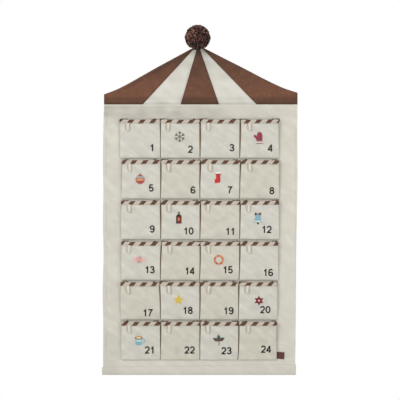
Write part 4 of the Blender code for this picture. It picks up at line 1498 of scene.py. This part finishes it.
def star(points, outer, inner):
    """A star's outline with its first point upwards."""
    return [((outer if at % 2 == 0 else inner) * math.sin(math.pi * at / points),
             (outer if at % 2 == 0 else inner) * math.cos(math.pi * at / points))
            for at in range(2 * points)]


def snowflake():
    shapes = []
    for turn in range(0, 180, 60):
        arm = band([(0, -14), (0, 14)], 1.9)
        shapes.append(("#85776f", turn, [turned(arm, turn)]))
    for turn in range(0, 360, 60):
        barbs = band([(-4, 12), (0, 8), (4, 12)], 1.6)
        shapes.append(("#6f6159", turn + 90, [turned(barbs, turn)]))
    return shapes


def mitten():
    hand = [(-6, -8), (8, -8), (8.6, 0), (8, 8), (5, 13), (1, 14), (-3, 12.6), (-5.4, 8),
            (-6, 3), (-9, 6), (-12.6, 6.6), (-14, 4), (-13, 1), (-9, -3)]
    cuff = oblong(-7, -15, 9, -9)
    lines = [oblong(-7.4, -10.6, 9.4, -8.6), oblong(-7.4, -16, 9.4, -14.2)]
    return [("#f1ece2", 90, [cuff]), ("#9d4359", 12, [hand]),
            *[("#8d3a50", 0, [line]) for line in lines]]


def bauble():
    ball = circle((0, -2), 12)
    middle = [(-11.6, -5), (11.6, -5), (11.8, 0.6), (-11.8, 0.6)]
    upper = [(-11, 2.6), (11, 2.6), (9.6, 5.4), (-9.6, 5.4)]
    cap = [(-2.6, 9.4), (2.6, 9.4), (2.2, 13), (-2.2, 13)]
    return [("#b9605a", 90, [ball]), ("#e2b183", 0, [middle]), ("#a9c8c9", 0, [upper]),
            ("#8d8378", 90, [cap])]


def stocking():
    leg = [(-4, 10), (7, 10), (7, -3), (8, -8), (5, -13), (-6, -14), (-11, -13), (-13, -9),
           (-11, -5.4), (-6, -4.6), (-4, -1.5)]
    cuff = oblong(-6, 9, 9, 15)
    toe = [(-8, -5), (-7.4, -13.8), (-11, -13), (-13, -9), (-11, -5.4)]
    trim = oblong(-6.4, 8.2, 9.4, 10)
    return [("#f1ece2", 90, [cuff]), ("#cf3f37", 0, [leg]), ("#f1ece2", 60, [toe]),
            ("#b23630", 0, [trim])]


def lantern():
    frame_line = [(-7, -13), (7, -13), (7, 7), (0, 13), (-7, 7)]
    glass = oblong(-4.6, -10.6, 4.6, 5)
    flame = [(-2, -6), (-2.6, -2), (0, 4), (2.6, -2), (2, -6)]
    ring = [circle((0, 15), 2.6), circle((0, 15), 1.3)]
    return [("#2c2b2d", 0, [frame_line, glass]), ("#a23a35", 90, [glass]),
            ("#e0b04c", 90, [flame]), ("#2c2b2d", 0, ring)]


def bell():
    body = [(-12, -10), (12, -10), (8.5, -4)] + arc((0, 1), (7.6, 11), 0, 180, 15) + [(-8.5, -4)]
    clapper = circle((0, -12), 2.9)
    bow = [(0, 12), (-8, 16), (-8, 8), (0, 12), (8, 16), (8, 8)]
    return [("#6d3b2b", 0, [clapper]), ("#92bac4", 90, [body]),
            ("#dfe6e4", 0, [[(-11.4, -8.6), (11.4, -8.6), (9.6, -5.6), (-9.6, -5.6)]]),
            ("#6d3b2b", 90, [bow])]


def sweet():
    wings = [[(-6, 0), (-16, 8), (-13.5, 0), (-16, -8)], [(6, 0), (16, 8), (13.5, 0), (16, -8)]]
    stripe = oblong(-1.8, -8.8, 1.8, 8.8)
    return [*[("#ecc0b8", 90, [wing]) for wing in wings],
            ("#e8b1aa", 60, [circle((0, 0), 9.2)]), ("#7fb0b9", 0, [turned(stripe, -20)])]


def wreath():
    berries = [("#b9524a", 0, [circle((10.4 * math.cos(a), 10.4 * math.sin(a)), 1.9)])
               for a in np.radians((25, 95, 160, 235, 305))]
    return [("#dd9567", 45, [circle((0, 0), 13), circle((0, 0), 8)]), *berries]


def yellow_star():
    return [("#dfc552", 0, [star(5, 14.5, 6.0)])]


def winter_rose():
    petals = []
    for turn in range(0, 360, 60):
        petal = [(0, 0), (3.4, 5), (0, 13.5), (-3.4, 5)]
        petals.append(("#7e1f2e", turn + 60, [turned(petal, turn)]))
    inner = [("#912a38", turn, [turned([(0, 0), (2.2, 4), (0, 8.5), (-2.2, 4)], turn)])
             for turn in range(30, 390, 60)]
    return [*petals, *inner, ("#efe3c8", 0, [circle((0, 0), 2.3)])]


def mug():
    cup = [(-9, 8), (-8, -8)] + arc((0, -8), (8, 4), 180, 360, 13) + [(9, 8)]
    grip = band(arc((9, 0), (6, 6), 80, -80, 11), 2.2)
    rim = [arc((0, 8), (10, 3.6), 0, 360, 25)]
    return [("#8dbcc8", 0, [grip]), ("#8dbcc8", 90, [cup]),
            ("#e8f0ee", 0, [[(-8.7, 1.6), (8.7, 1.6), (8.5, -1.6), (-8.5, -1.6)]]),
            ("#b5503f", 0, rim), ("#f1e6ab", 0, [arc((0, 8), (7.8, 2.3), 0, 360, 25)])]


def holly():
    leaf = []
    for at in range(0, 11):
        wide = 5.2 * math.sin(math.pi * at / 10) * (1.0 if at % 2 else 0.62)
        leaf.append((wide, 1.7 * at))
    leaf += [(-x, z) for x, z in reversed(leaf[1:-1])]
    stem = band([(0, -12), (0.6, -5), (0, 0)], 1.8)
    sprigs = [("#3f574b", turn + 20, [turned(leaf, turn)]) for turn in (62, -58)]
    berries = [("#a5342f", 0, [circle(place, 2.5)]) for place in ((-2.4, 3.4), (2.6, 3.2))]
    return [("#6a4030", 0, [stem]), *sprigs, ("#48625a", 90, [turned(leaf, 2)]), *berries]


PICTURES = {2: snowflake, 4: mitten, 5: bauble, 7: stocking, 10: lantern, 12: bell, 13: sweet,
            15: wreath, 18: yellow_star, 20: winter_rose, 21: mug, 23: holly}


def satin(loops, degrees, spacing):
    """Threads side by side at an angle that fill closed outlines, as pairs of ends."""
    a = math.radians(degrees)
    turn = np.array([[math.cos(a), math.sin(a)], [-math.sin(a), math.cos(a)]])
    drawn = [np.array(loop) @ turn.T for loop in loops]
    low = min(loop[:, 1].min() for loop in drawn)
    high = max(loop[:, 1].max() for loop in drawn)
    threads = []
    for row in np.arange(low + spacing / 2, high, spacing):
        crossings = []
        for loop in drawn:
            for (x1, z1), (x2, z2) in zip(loop, np.roll(loop, -1, axis=0)):
                if (z1 <= row) != (z2 <= row):
                    crossings.append(x1 + (row - z1) / (z2 - z1) * (x2 - x1))
        crossings.sort()
        for start, end in zip(crossings[::2], crossings[1::2]):
            if end - start > spacing:
                threads.append(np.array([(start, row), (end, row)]) @ turn)
    return threads


class CALENDAR_OT_pictures(bpy.types.Operator):
    """Embroider the small pictures in satin stitch"""
    bl_idname = "calendar.pictures"
    bl_label = "Embroidered pictures"

    def execute(self, context):
        for number, motif in PICTURES.items():
            self.embroider(Pocket(number), motif())
        return {'FINISHED'}

    def embroider(self, pocket, shapes):
        spacing = settings("print").thread
        chance = random.Random(700 + pocket.number)
        middle = np.array([chance.uniform(-6, 0), 53 + chance.uniform(-2, 2)]) * MILLIMETRE
        parts = {}
        for layer, (colour, degrees, loops) in enumerate(shapes):
            for ends in satin(loops, degrees, spacing / MILLIMETRE):
                run = np.linalg.norm(ends[1] - ends[0])
                count = max(4, int(run / 3) + 2)
                share = np.linspace(0, 1, count)[:, None]
                flat = (ends[0] + (ends[1] - ends[0]) * share) * MILLIMETRE + middle
                crown = np.sqrt(np.sin(math.pi * share[:, 0])) * 0.00032
                path = pocket.lay(flat, 0.00012 + 0.00014 * layer + crown)
                parts.setdefault(colour, []).append(path)
        made = []
        for colour, paths in parts.items():
            piece = strands("stitched_picture", paths, spacing * 0.52)
            material = finish(spun_thread, "rayon_thread_" + colour[1:], srgb(colour))
            made.append(dress(piece, material))
        picture = join(made, "stitched_picture_" + pocket.name)
        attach(picture, pocket.body)


# Seams sewn through the panel
class CALENDAR_OT_seams(bpy.types.Operator):
    """Sew the hems, the sleeves, the roof and the pockets' seams"""
    bl_idname = "calendar.seams"
    bl_label = "Seams"

    def execute(self, context):
        cloth = settings("cloth")
        inside = cloth.hem - 0.0012
        top, foot = SEAM - 0.004, FOOT + cloth.foot_sleeve - 0.0046
        across = [(x, sleeve_line(x)) for x in (LEFT + 0.002, RIGHT - 0.010)]
        front, rear = [], []
        for side, edge in SIDES:
            hem = [(edge - side * inside, top), (edge - side * inside, foot + 0.002)]
            front.append(hem)
            rear.append(hem)
        front.append(across)
        for row in range(6):
            z = SEAMS[1 + 4 * row].z + 0.0012
            rear.append([(GRID_LEFT, z), (GRID_RIGHT, z)])
        for column in range(4):
            for side in (-1, 1):
                x = SEAMS[1 + column].x + side * (POCKET_WIDTH / 2 - 0.0012)
                rear.append([(x, GRID_TOP - 0.004), (x, GRID_BOTTOM)])
        rear.append([(LEFT + 0.003, SEAM + 0.0016), (RIGHT - 0.003, SEAM + 0.0016)])
        for index in range(1, 5):
            rear.append([(border(index, SEAM), SEAM + 0.004), (border(index, TIP), TIP - 0.012)])
        self.run("front_seam_stitches", front, -1, 0.0034, 0.0)
        self.run("rear_seam_stitches", rear, 1, 0.0044, 0.0)
        low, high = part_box("upper_sleeve")
        flanges = [[(low.x + 0.002, z), (high.x - 0.002, z)]
                   for z in (high.z - 0.0022, low.z + 0.0022)]
        self.run("sleeve_stitches", flanges, 1, 0.0036, TOUCH + CLOTH * 1.05)
        self.run("foot_sleeve_stitches", [across], 1, 0.0036, TOUCH + CLOTH * 1.05)
        return {'FINISHED'}

    def run(self, name, lines, side, pitch, above):
        """Stitches on the front (-1) or rear (1) face of the panel, above another layer."""
        face = CLOTH_FRONT if side < 0 else CLOTH_BACK
        paths = []
        for start, end in lines:
            for path in stitches((*start, 0), (*end, 0), pitch):
                x, z = path[:, 0], path[:, 1]
                proud = np.array([-0.0001, 0.00012, 0.00012, -0.0001]) + above
                y = face - panel_relief(x, z) + side * proud
                paths.append(np.stack([x, y, z], axis=1))
        sew(name, paths, 0.00024, "cloth")


class CALENDAR_OT_pompom(bpy.types.Operator):
    """Make the yarn ball from short curling tufts round a tight middle"""
    bl_idname = "calendar.pompom"
    bl_label = "Yarn ball"

    def execute(self, context):
        ball = settings("pompom")
        low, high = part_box("pompom")
        radius = (high.z - low.z) / 2
        middle = np.array([(low.x + high.x) / 2 - 0.0014, low.y + radius,
                           (low.z + high.z) / 2 - 0.0024])
        back = high.y - 0.0003
        core = self.core(middle, back, ball.reach * 0.74)
        tufts = strands("yarn_tufts", self.tufts(middle, back), ball.yarn / 2, 1,
                        (0.75, 1.0, 1.0, 0.85, 0.45))
        pompom = join([tufts, core], "yarn_ball")
        # Painted shade and light: the tip mark keeps the depths dark and the outer ends light, and
        # the ends are drawn darker towards the lower right and lighter towards the upper left, as
        # the light falls
        out = np.linalg.norm(points_of(pompom) - middle, axis=1) / ball.reach
        x, _, z = ((points_of(pompom) - middle) / ball.reach).T
        darkened = 0.40 + 0.60 * step_in(z - 0.45 * x, -0.8, 0.9)
        mark(pompom, "tip", step_in(out, 0.80, 1.0) * darkened)
        dress(pompom, finish(yarn, "cut_wool_yarn"), "pompom", ["pompom"])
        return {'FINISHED'}

    def core(self, middle, back, radius):
        """The tight middle of the ball, flat where it lies on the roof."""
        bpy.ops.object.select_all(action='DESELECT')
        bpy.ops.mesh.primitive_uv_sphere_add(segments=32, ring_count=20, radius=radius,
                                             location=middle)
        bpy.ops.object.transform_apply(location=True, rotation=False, scale=False)
        core = bpy.context.object
        edit(core, bisect={"plane_co": (0.0, back, 0.0), "plane_no": (0.0, 1.0, 0.0),
                           "use_fill": True, "clear_outer": True})
        smooth(core)
        return core

    def tufts(self, middle, back):
        ball = settings("pompom")
        chance = random.Random(11)
        golden = math.pi * (3 - math.sqrt(5))
        root = ball.reach * 0.62
        squash = 0.006
        flat = back - ball.yarn * 0.4 - squash
        paths = []
        for at in range(ball.tufts):
            up = 1 - 2 * (at + 0.5) / ball.tufts
            ring = math.sqrt(1 - up * up)
            way = np.array([ring * math.cos(golden * at), ring * math.sin(golden * at), up])
            way += np.array([chance.gauss(0, 0.05) for _ in range(3)])
            way /= np.linalg.norm(way)
            aside = np.cross(way, [chance.gauss(0, 1) for _ in range(3)])
            aside /= np.linalg.norm(aside)
            reach = ball.reach * chance.uniform(0.90, 1.01)
            curl = chance.uniform(0.08, 0.34)
            path = []
            for share in (0.0, 0.35, 0.65, 0.88, 1.0):
                out = root + (reach - root) * math.sin(share * 1.85)
                bend = curl * share ** 1.6
                place = (way * math.cos(bend) + aside * math.sin(bend)) * out
                place[0] *= ball.stretch
                path.append(middle + place)
            path = np.array(path)
            press = 1 - np.exp(-np.maximum(path[:, 1] - flat, 0.0) / squash)
            path[:, 1] = np.minimum(path[:, 1], flat + squash * press)
            path[:, ::2] += (middle - path)[:, ::2] * (0.2 * press ** 2)[:, None]
            paths.append(path)
        return paths


class CALENDAR_OT_label(bpy.types.Operator):
    """Make the bare woven tab beside the last pocket"""
    bl_idname = "calendar.label"
    bl_label = "Woven tab"

    def execute(self, context):
        low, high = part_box("label")
        tilt = math.radians(4.0)
        across, up = high.x - low.x, high.z - low.z
        width = (across - up * math.sin(tilt)) / math.cos(tilt)
        height = (up - across * math.sin(tilt)) / math.cos(tilt)
        middle = (low + high) / 2 + Vector((-0.0060, 0.0, 0.0018))
        columns, rows = 41, 37

        def place(i, j):
            x = width * (i / (columns - 1) - 0.5)
            z = height * (j / (rows - 1) - 0.5)
            inset = np.minimum(width / 2 - np.abs(x), height / 2 - np.abs(z))
            edge = 0.00022 * ridge(inset - 0.0016, 0.0006)
            curl = 0.0011 * step_in(x, -width * 0.1, width / 2) + 0.0003 * ripple(x, z, 0.02, 9)
            px = middle.x + x * math.cos(tilt) + z * math.sin(tilt)
            pz = middle.z + z * math.cos(tilt) - x * math.sin(tilt)
            return px, middle.y - edge - np.maximum(curl, -0.0002), pz, x, z

        tab = thicken(cloth_grid("woven_tab", columns, rows, place), 0.0008)
        apply(tab, 'BEVEL', width=0.0002, segments=1, limit_method='ANGLE',
              angle_limit=math.radians(60))
        dress(tab, finish(woven_label, "damask_woven_tab"), "cloth", ["label"])
        return {'FINISHED'}


class CALENDAR_OT_cloths(bpy.types.Operator):
    """Work out how far the panel's foot is turned up, and do nothing more"""
    bl_idname = "calendar.cloths"
    bl_label = "Cut sizes"

    def execute(self, context):
        turned_up = settings("cloth").foot_sleeve + 0.011
        return {'FINISHED'}


class CALENDAR_OT_stage(bpy.types.Operator):
    """Set the camera, the lamps, the white room and the pale floor"""
    bl_idname = "calendar.stage"
    bl_label = "Stage"

    def execute(self, context):
        stage = settings("stage")
        scene = bpy.context.scene
        scene.view_settings.view_transform = 'Standard'
        camera = bpy.data.objects.new("camera", bpy.data.cameras.new("camera"))
        scene.collection.objects.link(camera)
        camera.location = (stage.frame_x, -stage.distance, stage.frame_z)
        camera.rotation_euler = (math.pi / 2, 0.0, 0.0)
        to_cloth = stage.distance + CLOTH_FRONT
        camera.data.lens = camera.data.sensor_width * to_cloth / stage.frame_width
        scene.camera = camera
        middle = Vector((stage.frame_x, 0.0, stage.frame_z))
        self.lamp("key_lamp", (-2.4, -3.3, 1.6), middle, 2.2, stage.key)
        self.lamp("fill_lamp", (2.4, -3.4, -1.3), middle, 2.6, stage.fill)
        self.room(scene, stage.room)
        bpy.ops.object.select_all(action='DESELECT')
        bpy.ops.mesh.primitive_plane_add(size=1.6, location=(MIDDLE, 0.0, FOOT - stage.floor_drop))
        floor = name_piece(bpy.context.object, "floor")
        material, _ = new_material("pale_floor", 0.9, Base_Color=srgb("#e6e4e0"))
        floor.data.materials.append(material)
        return {'FINISHED'}

    def lamp(self, name, place, target, width, power):
        light = bpy.data.lights.new(name, 'AREA')
        light.energy = power
        light.size = width
        lamp = bpy.data.objects.new(name, light)
        bpy.context.scene.collection.objects.link(lamp)
        lamp.location = place
        lamp.rotation_euler = (target - Vector(place)).to_track_quat('-Z', 'Y').to_euler()

    def room(self, scene, strength):
        """White where it is looked at or mirrored, a softer light on the calendar."""
        world = scene.world or bpy.data.worlds.new("room")
        scene.world = world
        world.use_nodes = True
        tree = world.node_tree
        tree.nodes.clear()
        seen = 0.0
        for ray in ("Is Camera Ray", "Is Glossy Ray", "Is Transmission Ray"):
            seen = add(tree, "Math", (seen, add(tree, "LightPath", output=ray)),
                       operation='MAXIMUM')
        soft, white = (add(tree, "Background", ((1, 1, 1, 1), light))
                       for light in (strength, 1.0))
        output = tree.nodes.new("ShaderNodeOutputWorld")
        tree.links.new(add(tree, "MixShader", (seen, soft, white)), output.inputs["Surface"])


OPERATORS = (CALENDAR_OT_stage, CALENDAR_OT_panel, CALENDAR_OT_gores, CALENDAR_OT_rear,
             CALENDAR_OT_rods, CALENDAR_OT_bindings, CALENDAR_OT_numbers, CALENDAR_OT_pictures,
             CALENDAR_OT_pockets, CALENDAR_OT_seams, CALENDAR_OT_pompom, CALENDAR_OT_label,
             CALENDAR_OT_cloths)


class CALENDAR_PT_sidebar(bpy.types.Panel):
    """Lists the calendar's pieces with their sizes and colours"""
    bl_idname = "CALENDAR_PT_sidebar"
    bl_label = "Advent Calendar"
    bl_space_type = 'VIEW_3D'
    bl_region_type = 'UI'
    bl_category = "Calendar"

    def draw(self, context):
        for operator in OPERATORS:
            self.layout.operator(operator.bl_idname)
        for group, kind in GROUPS.items():
            box = self.layout.box()
            box.label(text=group.title())
            for name in kind.__annotations__:
                box.prop(settings(group), name)


def register():
    for kind in (*GROUPS.values(), *OPERATORS, CALENDAR_PT_sidebar):
        bpy.utils.register_class(kind)
    for group, kind in GROUPS.items():
        setattr(bpy.types.Scene, "calendar_" + group, PointerProperty(type=kind))


def unregister():
    for group in GROUPS:
        delattr(bpy.types.Scene, "calendar_" + group)
    for kind in (CALENDAR_PT_sidebar, *reversed(OPERATORS), *GROUPS.values()):
        bpy.utils.unregister_class(kind)


def main():
    """Make the whole calendar in order."""
    register()
    for operator in OPERATORS:
        getattr(bpy.ops.calendar, operator.bl_idname.split(".")[1])()


if __name__ == "__main__":
    main()
